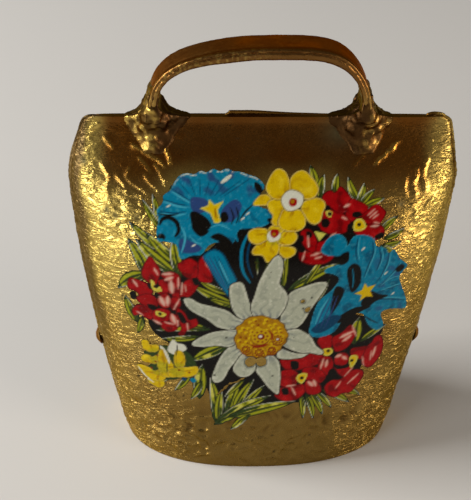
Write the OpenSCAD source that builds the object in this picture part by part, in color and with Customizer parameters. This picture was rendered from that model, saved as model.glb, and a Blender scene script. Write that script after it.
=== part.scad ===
// Small sheet-metal cowbell with a strap handle, a hanging clapper and a flower transfer.
// +Z is up and z = 0 is the mouth rim. +X is to the right. The decorated face looks along -Y.

/* [Body] */
// Width of the front sheet at the belly line
belly_w = 94.3; // [76:0.1:120]
// Width of the front sheet at the mouth
mouth_w = 73.2; // [60:0.1:92]
// Width of the front sheet at the top ridge
ridge_w = 88.6; // [72:0.1:112]
// Height from the mouth rim to the top ridge
body_h = 95; // [78:0.5:120]
// Distance of the belly line below the ridge
belly_drop = 14.7; // [10:0.1:24]
// Depth of the bell at the mouth
mouth_d = 45.5; // [37:0.1:56]
// Depth of the bell where the roof starts
shoulder_d = 40; // [33:0.1:50]
// Height of the sloping roof, from the shoulder to the ridge
roof_h = 39; // [32:0.5:48]
// Radius that rounds the two ends of the ridge
corner_r = 2.6; // [1.5:0.1:4]
// How early the sides swell above the mouth, where 1 is a straight side
side_swell = 1.57; // [1.1:0.01:2]
// Squareness of the mouth in plan, where 2 is an ellipse
mouth_square = 2.35; // [2:0.05:3]
// Squareness of the ridge in plan
ridge_square = 5; // [4:0.1:6]

/* [Sheet] */
// Thickness of the sheet metal
sheet_t = 0.8; // [0.5:0.05:1.2]
// Space between the two sheets at the ridge, which the braze fills
seam_gap = 0.3; // [0.2:0.05:0.6]
// Space between the two sheets where they lap at the sides
lap_gap = 0.05; // [0.02:0.01:0.15]
// Angle by which the rear sheet reaches forward round each side
lap_reach = 8.5; // [6:0.5:12]
// Angle by which the front sheet reaches back under the rear sheet
lap_under = 11.5; // [9:0.5:13]
// Height of the step where the rear sheet stands above the front one
step_h = 1; // [0.5:0.1:1.6]
// Position of the square end of that step, left of the centre
step_left = 8.8; // [6:0.1:12]
// Position where that step has run out, right of the centre
step_right = 18; // [10:0.5:18]
// Height of the raised corner of the rear sheet at the right
corner_lift = 0.7; // [0.4:0.1:1]
// Length of that raised corner along the ridge
corner_len = 5.5; // [3:0.1:8]

/* [Ridge braze] */
// Depth of the braze in the ridge seam
ridge_braze_h = 2.6; // [1.5:0.1:4]
// Clearance between braze and the metal that it fills
braze_clear = 0.03; // [0.01:0.01:0.08]

/* [Seam rivets] */
// Height of the side rivets above the mouth
rivet_z = 28.4; // [20:0.1:45]
// Diameter of the rivet shank
rivet_d = 2.4; // [1.6:0.1:3]
// Radial clearance of the shank in its two holes
rivet_clear = 0.05; // [0.02:0.01:0.1]
// Diameter of the domed outer head
rivet_head_d = 5.2; // [4.2:0.1:6.2]
// Height of the domed outer head
rivet_head_h = 1.4; // [1:0.1:2]
// Diameter of the flattened inner head
rivet_tail_d = 4.2; // [3.4:0.1:5]
// Height of the flattened inner head
rivet_tail_h = 0.8; // [0.5:0.1:1.2]

/* [Handle] */
// Width of the handle strap, front to back
strap_w = 9; // [7.5:0.1:11]
// Thickness of the handle strap
strap_t = 2; // [1.2:0.1:2.6]
// Height of the top of the strap above the ridge
handle_rise = 19; // [15:0.1:23]
// Distance between the middles of the two legs
leg_span = 51; // [42:0.1:62]
// Sideways place of the legs, left of the centre
leg_shift = 1.5; // [0:0.1:3]
// How far the crown of the arch leans to the right of the legs
crown_lean = 5.3; // [0:0.1:7]
// Height above the ridge at which the legs start to curve
leg_straight = 1; // [0.5:0.1:3]
// Roundness of the arch, where 2 is an ellipse
arch_square = 2.7; // [2:0.1:3.2]
// How far the two prongs of each leg reach down over the roof
prong_drop = 7; // [5:0.1:9]
// Gap between a prong and the roof
prong_clear = 0.1; // [0.05:0.01:0.3]

/* [Handle braze] */
// Length of the braze fillet along the ridge towards the middle
fillet_in = 11; // [7:0.1:13]
// Length of the braze fillet along the ridge towards the end
fillet_out = 7; // [5:0.1:10]
// Height of the braze fillet up the leg
fillet_up = 6; // [3:0.1:8]
// Reach of the braze down the roof
fillet_down = 9; // [8:0.1:11]
// Thickness of the braze over the strap's edges
fillet_cover = 0.9; // [0.5:0.1:1.6]

/* [Clapper] */
// Wire diameter of the staple in the crown
staple_d = 2.2; // [1.8:0.1:2.7]
// Distance between the middles of the staple's legs
staple_span = 12; // [9:0.1:16]
// Distance of the staple's bar below the ridge
staple_drop = 16; // [14:0.1:20]
// Bend radius of the staple
staple_bend = 2.6; // [2.2:0.1:3.4]
// Distance of the staple's two ends below the ridge
staple_end = 5; // [4.6:0.1:6]
// Diameter of the braze round each end of the staple
staple_braze_d = 6; // [5:0.1:7]
// Length of the braze round each end of the staple
staple_braze_h = 5; // [4:0.1:6]
// Wire diameter of the link
link_d = 1.8; // [1.4:0.1:2.2]
// Inner width of the link
link_in_w = 4; // [3.8:0.1:5]
// Inner length of the link
link_in_l = 9; // [8:0.1:12]
// Running gap where link, staple and clapper eye hang in each other
hang_gap = 0.15; // [0.1:0.01:0.3]
// Wire diameter of the clapper eye
eye_d = 1.8; // [1.4:0.1:2.2]
// Inner diameter of the clapper eye
eye_in_d = 4; // [3.8:0.1:5]
// Diameter of the clapper rod
rod_d = 3; // [2.4:0.1:3.6]
// Diameter of the clapper ball
ball_d = 15; // [12:0.1:18]
// Height of the lowest point of the ball above the mouth rim
ball_lift = 4.5; // [3:0.1:8]
// Radial clearance of the rod in the ball's bore
ball_fit = 0.02; // [0.01:0.01:0.05]
// Depth to which the rod enters the ball
rod_seat = 10; // [8:0.1:11]

/* [Flower transfer] */
// Width of the transfer
transfer_w = 75; // [60:0.5:78]
// Height of the transfer
transfer_h = 69; // [56:0.5:74]
// Height of the transfer's middle above the mouth
transfer_z = 49; // [42:0.5:54]
// Thickness of the transfer
transfer_t = 0.15; // [0.1:0.01:0.3]
// Gap between the transfer and the front sheet
transfer_gap = 0.15; // [0.1:0.01:0.3]

/* [Hidden] */
$fn = 48;

BRASS = "#8d6f35";
DARK_BRASS = "#5d3d1a";
BRAZE = "#a07a35";
STEEL = "#77726a";

SIDE_STEPS = 54;
LOWER_ROWS = 9;
ROOF_ROWS = 14;
CORNER_ROWS = 5;
LAP_BLEND_FROM = 14;
LAP_BLEND_TO = 26;
MAX_SLANT = 1.35;
RIDGE_EASE = 1.29;
UPPER_EASE = 1.2;

belly_z = body_h - belly_drop;
shoulder_z = body_h - roof_h;
corner_z = body_h - corner_r;
fin = sheet_t + seam_gap / 2;
lap_t = sheet_t + lap_gap;

// ---- form of the front sheet's outer surface ----

function smooth(t) = let (u = max(0, min(1, t))) u * u * (3 - 2 * u);
function mix(a, b, s) = a + (b - a) * s;

function side_lower(z) =
  mix(mouth_w, belly_w, 1 - pow(1 - min(1, z / belly_z), side_swell)) / 2;
function side_upper(z) =
  mix(belly_w, ridge_w, pow(max(0, (z - belly_z) / belly_drop), UPPER_EASE)) / 2;
function corner_cut(z) =
  let (u = max(0, min(1, (z - corner_z) / corner_r))) corner_r * (1 - sqrt(1 - u * u));
function half_w(z) = (z < belly_z ? side_lower(z) : side_upper(z)) - corner_cut(z);

function roof_t(z) = pow(max(0, min(1, (z - shoulder_z) / roof_h)), RIDGE_EASE);
function half_d(z) =
  z < shoulder_z
  ? mix(mouth_d, shoulder_d, smooth(z / shoulder_z)) / 2
  : mix(shoulder_d / 2, fin, smooth(roof_t(z)));

function squareness(z) = mix(mouth_square, ridge_square, smooth((z / body_h - 0.72) / 0.28));

// thickness measured level, where the wall leans
function slant(f0, f1, dz) = min(MAX_SLANT, sqrt(1 + pow((f1 - f0) / dz, 2)));
function level_w(z) = slant(half_w(max(0, z - 0.1)), half_w(z), 0.1);
function level_d(z) = slant(half_d(max(0, z - 0.1)), half_d(z), 0.1);

// a point at angle p of the section at height z, moved outwards by m
function skin_point(p, z, m) =
  let (
    n = squareness(z),
    c = cos(p),
    s = sin(p),
    r = pow(pow(abs(c), n) + pow(abs(s), n), -1 / n)
  )
  [(half_w(z) + m * level_w(z)) * r * c, (half_d(z) + m * level_d(z)) * r * s, z];

function front_y(x, z) =
  let (n = squareness(z), u = min(1, abs(x) / half_w(z)))
  -half_d(z) * pow(1 - pow(u, n), 1 / n);

row_z = concat(
  [for (i = [0 : LOWER_ROWS - 1]) shoulder_z * i / LOWER_ROWS],
  [for (i = [0 : ROOF_ROWS - 1]) mix(shoulder_z, corner_z, i / ROOF_ROWS)],
  [for (i = [0 : CORNER_ROWS]) corner_z + corner_r * sin(90 * i / CORNER_ROWS)]
);

// ---- a closed sheet between two grids of the same size ----

function grid_faces(rows, cols, base, flip) = [
  for (i = [0 : rows - 2], j = [0 : cols - 2], k = [0, 1])
    let (
      a = base + i * cols + j,
      b = a + 1,
      c = a + cols,
      d = c + 1,
      tri = k == 0 ? [a, b, d] : [a, d, c]
    )
    flip ? [tri[2], tri[1], tri[0]] : tri
];

function edge_faces(ring, shift) = [
  for (i = [0 : len(ring) - 2], k = [0, 1])
    let (a = ring[i], b = ring[i + 1])
    k == 0 ? [a, a + shift, b + shift] : [a, b + shift, b]
];

function grid_rim(rows, cols) = concat(
  [for (j = [0 : cols - 1]) j],
  [for (i = [1 : rows - 1]) i * cols + cols - 1],
  [for (j = [cols - 2 : -1 : 0]) (rows - 1) * cols + j],
  [for (i = [rows - 2 : -1 : 0]) i * cols]
);

module sheet(outer, inner) {
  rows = len(outer);
  cols = len(outer[0]);
  points = concat([for (row = outer) each row], [for (row = inner) each row]);
  faces = concat(
    grid_faces(rows, cols, 0, true),
    grid_faces(rows, cols, rows * cols, false),
    [for (f = edge_faces(grid_rim(rows, cols), rows * cols)) [f[2], f[1], f[0]]]
  );
  polyhedron(points = points, faces = faces, convexity = 6);
}

// ---- sheets of the body ----

function front_angle(j) = mix(180 - lap_under, 360 + lap_under, j / SIDE_STEPS);
function rear_angle(j) = mix(-lap_reach, 180 + lap_reach, j / SIDE_STEPS);
function from_side(p) = min(abs(p), abs(180 - p));
function lapped(p) =
  1 - smooth((from_side(p) - LAP_BLEND_FROM) / (LAP_BLEND_TO - LAP_BLEND_FROM));

module rivet_holes() {
  for (side = [-1, 1])
    at_rivet(side)
      translate([0, 0, -4 * sheet_t])
        cylinder(h = 8 * sheet_t, d = rivet_d + 2 * rivet_clear);
}

module front_shell() {
  color(BRASS)
    difference() {
      sheet(
        [for (z = row_z) [for (j = [0 : SIDE_STEPS]) skin_point(front_angle(j), z, 0)]],
        [for (z = row_z) [for (j = [0 : SIDE_STEPS]) skin_point(front_angle(j), z, -sheet_t)]]
      );
      rivet_holes();
    }
}

module rear_sheet() {
  sheet(
    [for (z = row_z) [for (j = [0 : SIDE_STEPS])
      let (p = rear_angle(j)) skin_point(p, z, lap_t * lapped(p))]],
    [for (z = row_z) [for (j = [0 : SIDE_STEPS])
      let (p = rear_angle(j)) skin_point(p, z, mix(-sheet_t, lap_gap, lapped(p)))]]
  );
}

// tongues of the rear sheet that stand above the front sheet, cut from flat metal
module rear_tongue(outline) {
  inset = 0.05;
  translate([0, fin - inset, 0])
    rotate([90, 0, 0])
      linear_extrude(sheet_t - 2 * inset)
        polygon(outline);
}

module rear_step() {
  root = body_h - 1.5;
  rear_tongue([
    [-step_left, root], [-step_left, body_h + step_h], [-step_left + 6, body_h + step_h],
    [mix(-step_left, step_right, 0.55), body_h + step_h * 0.45],
    [step_right, body_h + 0.02], [step_right, root]
  ]);
}

module rear_corner() {
  end = half_w(corner_z) + lap_t;
  start = ridge_w / 2 - corner_len;
  top = body_h + corner_lift;
  rear_tongue([
    [start, body_h - 1.5], [start, body_h], [start + 1.2, top], [start + 2.6, top],
    [start + 4.4, top - 0.4], [end - 1.2, body_h - 1.1], [end - 0.2, corner_z + 0.6],
    [end, corner_z - 0.4], [end - 1, corner_z - 0.6]
  ]);
}

module rear_shell() {
  color(BRASS)
    difference() {
      union() {
        rear_sheet();
        rear_step();
        rear_corner();
      }
      rivet_holes();
    }
}

module ridge_braze() {
  half_len = ridge_w / 2 - corner_r - sheet_t - 1;
  half_t = seam_gap / 2 - braze_clear;
  color(BRAZE)
    translate([-half_len, -half_t, body_h - ridge_braze_h])
      cube([2 * half_len, 2 * half_t, ridge_braze_h - 0.2]);
}

// ---- side rivets ----

// local z runs outwards from the front sheet's outer surface
module at_rivet(side) {
  lean = atan((half_w(rivet_z + 0.5) - half_w(rivet_z - 0.5)) / 1);
  translate([side * half_w(rivet_z), 0, rivet_z])
    rotate([0, side * (90 + lean), 0])
      children();
}

module dome(d, h) {
  r = (d * d / 4 + h * h) / (2 * h);
  intersection() {
    translate([0, 0, h - r]) sphere(r = r);
    cylinder(h = h, d = d);
  }
}

module seam_rivet(side) {
  seat = lap_t + braze_clear;
  tail = sheet_t + 0.15;
  color(DARK_BRASS)
    at_rivet(side) {
      translate([0, 0, seat]) dome(rivet_head_d, rivet_head_h);
      translate([0, 0, -tail - rivet_tail_h / 2])
        cylinder(h = tail + seat + rivet_tail_h / 2 + rivet_head_h / 2, d = rivet_d);
      translate([0, 0, -tail - rivet_tail_h]) cylinder(h = rivet_tail_h, d = rivet_tail_d);
    }
}

module seam_rivet_left() { seam_rivet(-1); }
module seam_rivet_right() { seam_rivet(1); }

// ---- handle ----

arch_z = body_h + leg_straight;
arch_h = handle_rise - leg_straight - strap_t / 2;

// middle line of the strap, from the right leg over the top to the left one
function arch_point(p) =
  let (
    c = cos(p),
    up = pow(sin(p), 2 / arch_square),
    out = sign(c) * pow(abs(c), 2 / arch_square)
  )
  [leg_span / 2 * out - leg_shift + crown_lean * pow(up, 6), arch_z + arch_h * up];

ARCH_STEPS = 40;
arch_line = concat(
  [[leg_span / 2 - leg_shift, body_h - prong_drop]],
  [for (i = [0 : ARCH_STEPS]) arch_point(180 * i / ARCH_STEPS)],
  [[-leg_span / 2 - leg_shift, body_h - prong_drop]]
);

function side_of(line, i, m) =
  let (
    a = line[max(0, i - 1)],
    b = line[min(len(line) - 1, i + 1)],
    d = b - a
  )
  line[i] + [d[1], -d[0]] / norm(d) * m;

module strap_outline(extra) {
  last = len(arch_line) - 1;
  polygon(concat(
    [for (i = [0 : last]) side_of(arch_line, i, strap_t / 2 + extra)],
    [for (i = [last : -1 : 0]) side_of(arch_line, i, -strap_t / 2 - extra)]
  ));
}

module strap_solid(extra) {
  width = strap_w + 2 * extra;
  translate([0, width / 2, 0])
    rotate([90, 0, 0])
      linear_extrude(width)
        strap_outline(extra);
}

// the roof as a long prism, grown by m, for what straddles the ridge
module roof_prism(m) {
  low = body_h - fillet_down - 6;
  steps = 22;
  half = [for (i = [0 : steps]) let (z = mix(low, body_h, i / steps)) [half_d(z) + m, z]];
  flat = [for (i = [steps : -1 : 0]) [-half[i][0], half[i][1]]];
  translate([-leg_span, 0, 0])
    rotate([90, 0, 90])
      linear_extrude(2 * leg_span)
        polygon(concat([[half[0][0], low - 5]], half, [[fin + m, body_h + m]],
          [[-fin - m, body_h + m]], flat, [[-half[0][0], low - 5]]));
}

module handle_strap() {
  color(DARK_BRASS)
    difference() {
      strap_solid(0);
      roof_prism(prong_clear);
    }
}

// front view of a braze fillet, hollow on both flanks
module fillet_front(side) {
  steps = 10;
  towards = -side;
  mid = side * leg_span / 2 - leg_shift;
  half = strap_t / 2 + 0.3;
  function flank(len, dir) = [
    for (i = [0 : steps])
      let (u = i / steps)
      [mid + dir * (half + len * u), body_h + fillet_up * pow(1 - u, 2.2)]
  ];
  function belly(len, dir) = [
    for (i = [0 : steps])
      let (u = i / steps)
      [mid + dir * (half + len * cos(90 * u)), body_h - 0.4 - (fillet_down - 0.4) * sin(90 * u)]
  ];
  inner = concat(flank(fillet_in, towards), belly(fillet_in, towards));
  outer = concat(flank(fillet_out, -towards), belly(fillet_out, -towards));
  polygon(concat(inner, [for (i = [len(outer) - 1 : -1 : 0]) outer[i]]));
}

// side view of a braze fillet, widest at the ridge
module fillet_side() {
  top = strap_w / 2 + 0.3;
  wide = strap_w / 2 + fillet_cover;
  right = [
    [top, body_h + fillet_up], [top + 0.2, body_h + fillet_up * 0.6],
    [wide - 0.3, body_h + fillet_up * 0.3], [wide, body_h], [wide + 0.2, body_h - 3],
    [wide, body_h - fillet_down]
  ];
  polygon(concat(right, [for (i = [len(right) - 1 : -1 : 0]) [-right[i][0], right[i][1]]]));
}

module handle_braze(side) {
  length = 3 * leg_span;
  mid = side * leg_span / 2 - leg_shift - side * (fillet_in - fillet_out) / 2;
  color(BRAZE)
    difference() {
      intersection() {
        translate([0, strap_w, 0])
          rotate([90, 0, 0])
            linear_extrude(2 * strap_w)
              fillet_front(side);
        translate([-length / 2, 0, 0])
          rotate([90, 0, 90])
            linear_extrude(length)
              fillet_side();
        translate([mid, 0, body_h - 2 * fillet_down])
          scale([1, 0.72, 1])
            cylinder(h = 4 * fillet_down, r = (fillet_in + fillet_out + strap_t) / 2 + 0.3);
      }
      roof_prism(braze_clear);
      strap_solid(braze_clear);
      rear_step();
    }
}

module handle_braze_left() { handle_braze(-1); }
module handle_braze_right() { handle_braze(1); }

// ---- staple in the crown ----

bar_z = body_h - staple_drop;
staple_top = body_h - staple_end;

module clapper_staple() {
  straight = staple_span - 2 * staple_bend;
  leg_z = bar_z + staple_bend;
  color(STEEL) {
    translate([-straight / 2, 0, bar_z])
      rotate([0, 90, 0])
        cylinder(h = straight, d = staple_d);
    for (side = [-1, 1])
      mirror([side < 0 ? 1 : 0, 0, 0]) {
        translate([straight / 2, 0, leg_z])
          mirror([0, 0, 1])
            staple_bend_quarter();
        translate([staple_span / 2, 0, leg_z])
          cylinder(h = staple_top - leg_z, d = staple_d);
      }
  }
}

// quarter turn of wire about the bend's own centre
module staple_bend_quarter() {
  rotate([90, 0, 0])
    rotate_extrude(angle = 90)
      translate([staple_bend, 0])
        circle(d = staple_d);
}

// the inside of the crown as a long prism, shrunk by the braze clearance
module crown_prism() {
  low = body_h - staple_end - staple_braze_h - 2;
  high = body_h - ridge_braze_h - 0.6;
  steps = 12;
  half = [
    for (i = [0 : steps])
      let (z = mix(low, high, i / steps))
      [half_d(z) - sheet_t * level_d(z) - braze_clear, z]
  ];
  translate([-staple_span, 0, 0])
    rotate([90, 0, 90])
      linear_extrude(2 * staple_span)
        polygon(concat(half, [for (i = [steps : -1 : 0]) [-half[i][0], half[i][1]]]));
}

module staple_braze(side) {
  color(BRAZE)
    difference() {
      intersection() {
        translate([side * staple_span / 2, 0, staple_top + 1 - staple_braze_h])
          dome_cap(staple_braze_d, staple_braze_h);
        crown_prism();
      }
      translate([side * staple_span / 2, 0, staple_top - 2 * staple_braze_h])
        cylinder(h = 2 * staple_braze_h + braze_clear, d = staple_d + 2 * braze_clear);
    }
}

// a cylinder whose lower end is domed
module dome_cap(d, h) {
  translate([0, 0, d / 4])
    cylinder(h = h - d / 4, d = d);
  translate([0, 0, d / 4])
    mirror([0, 0, 1])
      dome(d, d / 4);
}

module staple_braze_left() { staple_braze(-1); }
module staple_braze_right() { staple_braze(1); }

// ---- link and clapper ----

link_top = bar_z + staple_d / 2 + hang_gap;
link_low = link_top - link_in_l;
link_r = (link_in_w + link_d) / 2;
pivot_z = link_low - link_d / 2;
eye_r = (eye_in_d + eye_d) / 2;
eye_z = pivot_z + link_d / 2 + hang_gap - eye_in_d / 2;
ball_z = ball_lift + ball_d / 2;

// an oblong ring in the YZ plane, round the staple's bar
module clapper_link() {
  run = link_in_l - link_in_w;
  color(STEEL) {
    for (side = [-1, 1])
      translate([0, side * link_r, link_low + link_in_w / 2])
        cylinder(h = run, d = link_d);
    translate([0, 0, link_low + link_in_w / 2]) half_ring(-1);
    translate([0, 0, link_top - link_in_w / 2]) half_ring(1);
  }
}

module half_ring(way) {
  rotate([0, 0, 90])
    rotate([way * 90, 0, 0])
      rotate_extrude(angle = 180)
        translate([link_r, 0])
          circle(d = link_d);
}

module clapper_rod() {
  low = ball_z + ball_d / 2 - rod_seat;
  top = eye_z - eye_r;
  color(STEEL) {
    translate([0, 0, eye_z])
      rotate([90, 0, 0])
        rotate_extrude()
          translate([eye_r, 0])
            circle(d = eye_d);
    translate([0, 0, low]) cylinder(h = top - low, d = rod_d);
  }
}

module clapper_ball() {
  seat = ball_z + ball_d / 2 - rod_seat - ball_fit;
  color(STEEL)
    difference() {
      translate([0, 0, ball_z]) sphere(d = ball_d);
      translate([0, 0, seat]) cylinder(h = ball_d, d = rod_d + 2 * ball_fit);
    }
}

// ---- flower transfer ----

TRANSFER_STEPS = 60;
TRANSFER_RINGS = 15;

// rings lie closer together towards the outline, where the front sheet curves more
function ring_share(ring) = sin(90 * ring / TRANSFER_RINGS);

// outline of the bunch, with leaf tips all round
function transfer_reach(p) = 1 + 0.03 * cos(9 * p) + 0.02 * cos(5 * p + 40);
function transfer_point(ring, p, out) =
  let (
    u = ring_share(ring) * transfer_reach(p) / 1.05,
    x = transfer_w / 2 * u * cos(p),
    z = transfer_z + transfer_h / 2 * u * sin(p)
  )
  [x, front_y(x, z) - out, z];

module flower_transfer() {
  color("#3f6d86")
    disc_sheet(transfer_gap + transfer_t, transfer_gap);
}

// a closed skin between two domed discs that share one outline
module disc_sheet(out, under) {
  cols = TRANSFER_STEPS;
  rings = TRANSFER_RINGS;
  count = cols * rings + 1;
  layer = function (m) concat(
    [transfer_point(0, 0, m)],
    [for (i = [1 : rings], j = [0 : cols - 1]) transfer_point(i, 360 * j / cols, m)]
  );
  ring_id = function (i, j) 1 + (i - 1) * cols + j % cols;
  top = concat(
    [for (j = [0 : cols - 1]) [0, ring_id(1, j), ring_id(1, j + 1)]],
    [
      for (i = [1 : rings - 1], j = [0 : cols - 1], k = [0, 1])
        k == 0
        ? [ring_id(i, j), ring_id(i + 1, j), ring_id(i + 1, j + 1)]
        : [ring_id(i, j), ring_id(i + 1, j + 1), ring_id(i, j + 1)]
    ]
  );
  rim = [
    for (j = [0 : cols - 1], k = [0, 1])
      let (a = ring_id(rings, j), b = ring_id(rings, j + 1))
      k == 0 ? [a, a + count, b + count] : [a, b + count, b]
  ];
  polyhedron(
    points = concat(layer(out), layer(under)),
    faces = concat(
      [for (f = top) [f[2], f[1], f[0]]],
      [for (f = top) [f[0] + count, f[1] + count, f[2] + count]],
      [for (f = rim) [f[2], f[1], f[0]]]
    ),
    convexity = 4
  );
}

front_shell();
rear_shell();
ridge_braze();
seam_rivet_left();
seam_rivet_right();
handle_strap();
handle_braze_left();
handle_braze_right();
clapper_staple();
staple_braze_left();
staple_braze_right();
clapper_link();
clapper_rod();
clapper_ball();
flower_transfer();
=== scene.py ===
import math

import bpy
import numpy as np
from mathutils import Matrix, Vector


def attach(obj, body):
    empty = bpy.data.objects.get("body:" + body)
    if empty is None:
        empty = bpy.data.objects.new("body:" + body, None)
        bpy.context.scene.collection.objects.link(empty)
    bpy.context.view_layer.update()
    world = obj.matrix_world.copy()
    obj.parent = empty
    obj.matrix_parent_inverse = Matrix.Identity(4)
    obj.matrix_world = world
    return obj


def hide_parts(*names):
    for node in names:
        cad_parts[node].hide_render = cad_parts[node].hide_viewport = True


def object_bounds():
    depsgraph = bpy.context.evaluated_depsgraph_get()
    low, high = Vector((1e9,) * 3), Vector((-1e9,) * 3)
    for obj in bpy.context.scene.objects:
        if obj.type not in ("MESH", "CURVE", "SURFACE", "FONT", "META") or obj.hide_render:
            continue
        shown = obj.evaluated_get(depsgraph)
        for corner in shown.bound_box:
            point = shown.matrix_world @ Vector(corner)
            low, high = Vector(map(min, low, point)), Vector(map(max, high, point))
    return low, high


# Small sheet-metal cowbell with a strap handle, a hanging clapper and a flower transfer.
# Sizes are in millimetres and angles in degrees; meshes are made in millimetres and scaled
# to metres as they become objects. +X is right, -Y is the decorated front, z = 0 the mouth rim.

MM = 0.001
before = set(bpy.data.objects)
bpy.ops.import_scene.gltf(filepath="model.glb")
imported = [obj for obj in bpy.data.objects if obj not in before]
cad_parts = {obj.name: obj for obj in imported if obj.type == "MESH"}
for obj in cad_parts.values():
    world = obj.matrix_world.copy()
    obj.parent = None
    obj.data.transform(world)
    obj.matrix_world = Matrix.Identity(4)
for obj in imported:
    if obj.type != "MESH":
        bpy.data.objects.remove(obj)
cad_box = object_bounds()


# ---------------------------------------------------------------- sizes, as in the CAD part

BELLY_W, MOUTH_W, RIDGE_W = 94.3, 73.2, 88.6
BODY_H, BELLY_DROP = 95.0, 14.7
MOUTH_D, SHOULDER_D, ROOF_H = 45.5, 40.0, 39.0
CORNER_R, SIDE_SWELL = 2.6, 1.57
MOUTH_SQUARE, RIDGE_SQUARE = 2.35, 5.0
SHEET_T, SEAM_GAP, LAP_GAP = 0.8, 0.3, 0.05
LAP_REACH, LAP_UNDER = 8.5, 11.5
LAP_BLEND_FROM, LAP_BLEND_TO = 14, 26
MAX_SLANT = 1.35
STEP_H, STEP_LEFT, STEP_RIGHT = 1.0, 8.8, 18.0
CORNER_LIFT, CORNER_LEN = 0.7, 5.5
RIVET_Z, RIVET_D, RIVET_HEAD_D, RIVET_HEAD_H = 28.4, 2.4, 5.2, 1.4
RIVET_TAIL_D, RIVET_TAIL_H = 4.2, 0.8
STRAP_W, STRAP_T, HANDLE_RISE = 9.0, 2.0, 19.0
LEG_SPAN, LEG_SHIFT, CROWN_LEAN = 51.0, 1.5, 5.3
LEG_STRAIGHT, ARCH_SQUARE, PRONG_DROP = 1.0, 2.7, 7.0
FILLET_IN, FILLET_OUT, FILLET_UP, FILLET_DOWN = 11.0, 7.0, 6.0, 9.0
STAPLE_D, STAPLE_SPAN, STAPLE_DROP, STAPLE_BEND, STAPLE_END = 2.2, 12.0, 16.0, 2.6, 5.0
LINK_D, LINK_IN_W, LINK_IN_L, HANG_GAP = 1.8, 4.0, 9.0, 0.15
EYE_D, EYE_IN_D, ROD_D = 1.8, 4.0, 3.0
BALL_D, BALL_LIFT, ROD_SEAT = 15.0, 4.5, 10.0

BELLY_Z = BODY_H - BELLY_DROP
SHOULDER_Z = BODY_H - ROOF_H
CORNER_Z = BODY_H - CORNER_R
FIN = SHEET_T + SEAM_GAP / 2
LAP_T = SHEET_T + LAP_GAP
CORNER_PUSH = 1.3
CAD_LOW, CAD_HIGH = (np.array(corner) / MM for corner in cad_box)


# ---------------------------------------------------------------- form of the bell

def mix(a, b, s):
    return a + (b - a) * s


def smooth(t):
    t = np.clip(t, 0, 1)
    return t * t * (3 - 2 * t)


def half_w(z):
    lower = mix(MOUTH_W, BELLY_W, 1 - (1 - np.clip(z / BELLY_Z, 0, 1)) ** SIDE_SWELL) / 2
    upper = mix(BELLY_W, RIDGE_W, np.clip((z - BELLY_Z) / BELLY_DROP, 0, 1) ** 1.2) / 2
    u = np.clip((z - CORNER_Z) / CORNER_R, 0, 1)
    return np.where(z < BELLY_Z, lower, upper) - CORNER_R * (1 - np.sqrt(1 - u * u))


def half_d(z):
    lower = mix(MOUTH_D, SHOULDER_D, smooth(z / SHOULDER_Z)) / 2
    t = np.clip((z - SHOULDER_Z) / ROOF_H, 0, 1) ** 1.29
    return np.where(z < SHOULDER_Z, lower, mix(SHOULDER_D / 2, FIN, smooth(t)))


def squareness(z):
    return mix(MOUTH_SQUARE, RIDGE_SQUARE, smooth((z / BODY_H - 0.72) / 0.28))


def level(size, z):
    """The length that a unit of thickness has when measured level, where the wall leans."""
    below = np.maximum(0, z - 0.1)
    return np.minimum(MAX_SLANT, np.sqrt(1 + ((size(below) - size(below + 0.1)) / 0.1) ** 2))


def skin_point(p, z, m):
    """Points at angle p of the section at height z, moved outwards by m.

    The top left corner is pushed in a little.
    """
    n = squareness(z)
    c, s = np.cos(np.radians(p)), np.sin(np.radians(p))
    r = (np.abs(c) ** n + np.abs(s) ** n) ** (-1 / n)
    x = (half_w(z) + m * level(half_w, z)) * r * c
    y = (half_d(z) + m * level(half_d, z)) * r * s
    x = x + CORNER_PUSH * smooth((z - 82) / 13) * smooth((-x - 32) / 12)
    return np.stack([x, y, z + 0 * p], axis=-1)


def front_y(x, z):
    n = squareness(z)
    u = np.minimum(1, np.abs(x) / half_w(z))
    return -half_d(z) * (1 - u ** n) ** (1 / n)


# distance from the mouth rim along the middle of the front, against height
HEIGHTS = np.linspace(0, BODY_H, 1901)
RISES = np.concatenate([[0], np.cumsum(np.hypot(np.diff(HEIGHTS), np.diff(half_d(HEIGHTS))))])


def rise_of(z):
    return np.interp(z, HEIGHTS, RISES)


def height_of(rise):
    return np.interp(rise, RISES, HEIGHTS)


# ---------------------------------------------------------------- noise and distances

def noise(q, seed):
    """Smooth noise from about -1 to 1 at the points q, with features one unit across."""
    rng = np.random.default_rng(seed)
    order = rng.permutation(256)
    slopes = rng.normal(size=(256, 3))
    slopes /= np.linalg.norm(slopes, axis=1, keepdims=True)
    cell = np.floor(q).astype(int)
    part = q - cell
    fade = part ** 3 * (part * (part * 6 - 15) + 10)
    total = 0
    for corner in np.ndindex(2, 2, 2):
        at = cell + corner
        key = order[(order[(order[at[..., 0] & 255] + at[..., 1]) & 255] + at[..., 2]) & 255]
        weight = np.prod(np.where(corner, fade, 1 - fade), axis=-1)
        total = total + weight * np.sum(slopes[key] * (part - corner), axis=-1)
    return 1.6 * total


def ridges(q, seed):
    """Sharp ridge lines of height 1 between hollows near 0."""
    return (1 - np.minimum(1, 1.9 * np.abs(noise(q, seed)))) ** 1.6


def bump(x, y, cx, cy, rx, ry):
    return np.exp(-((x - cx) / rx) ** 2 - ((y - cy) / ry) ** 2)


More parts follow.
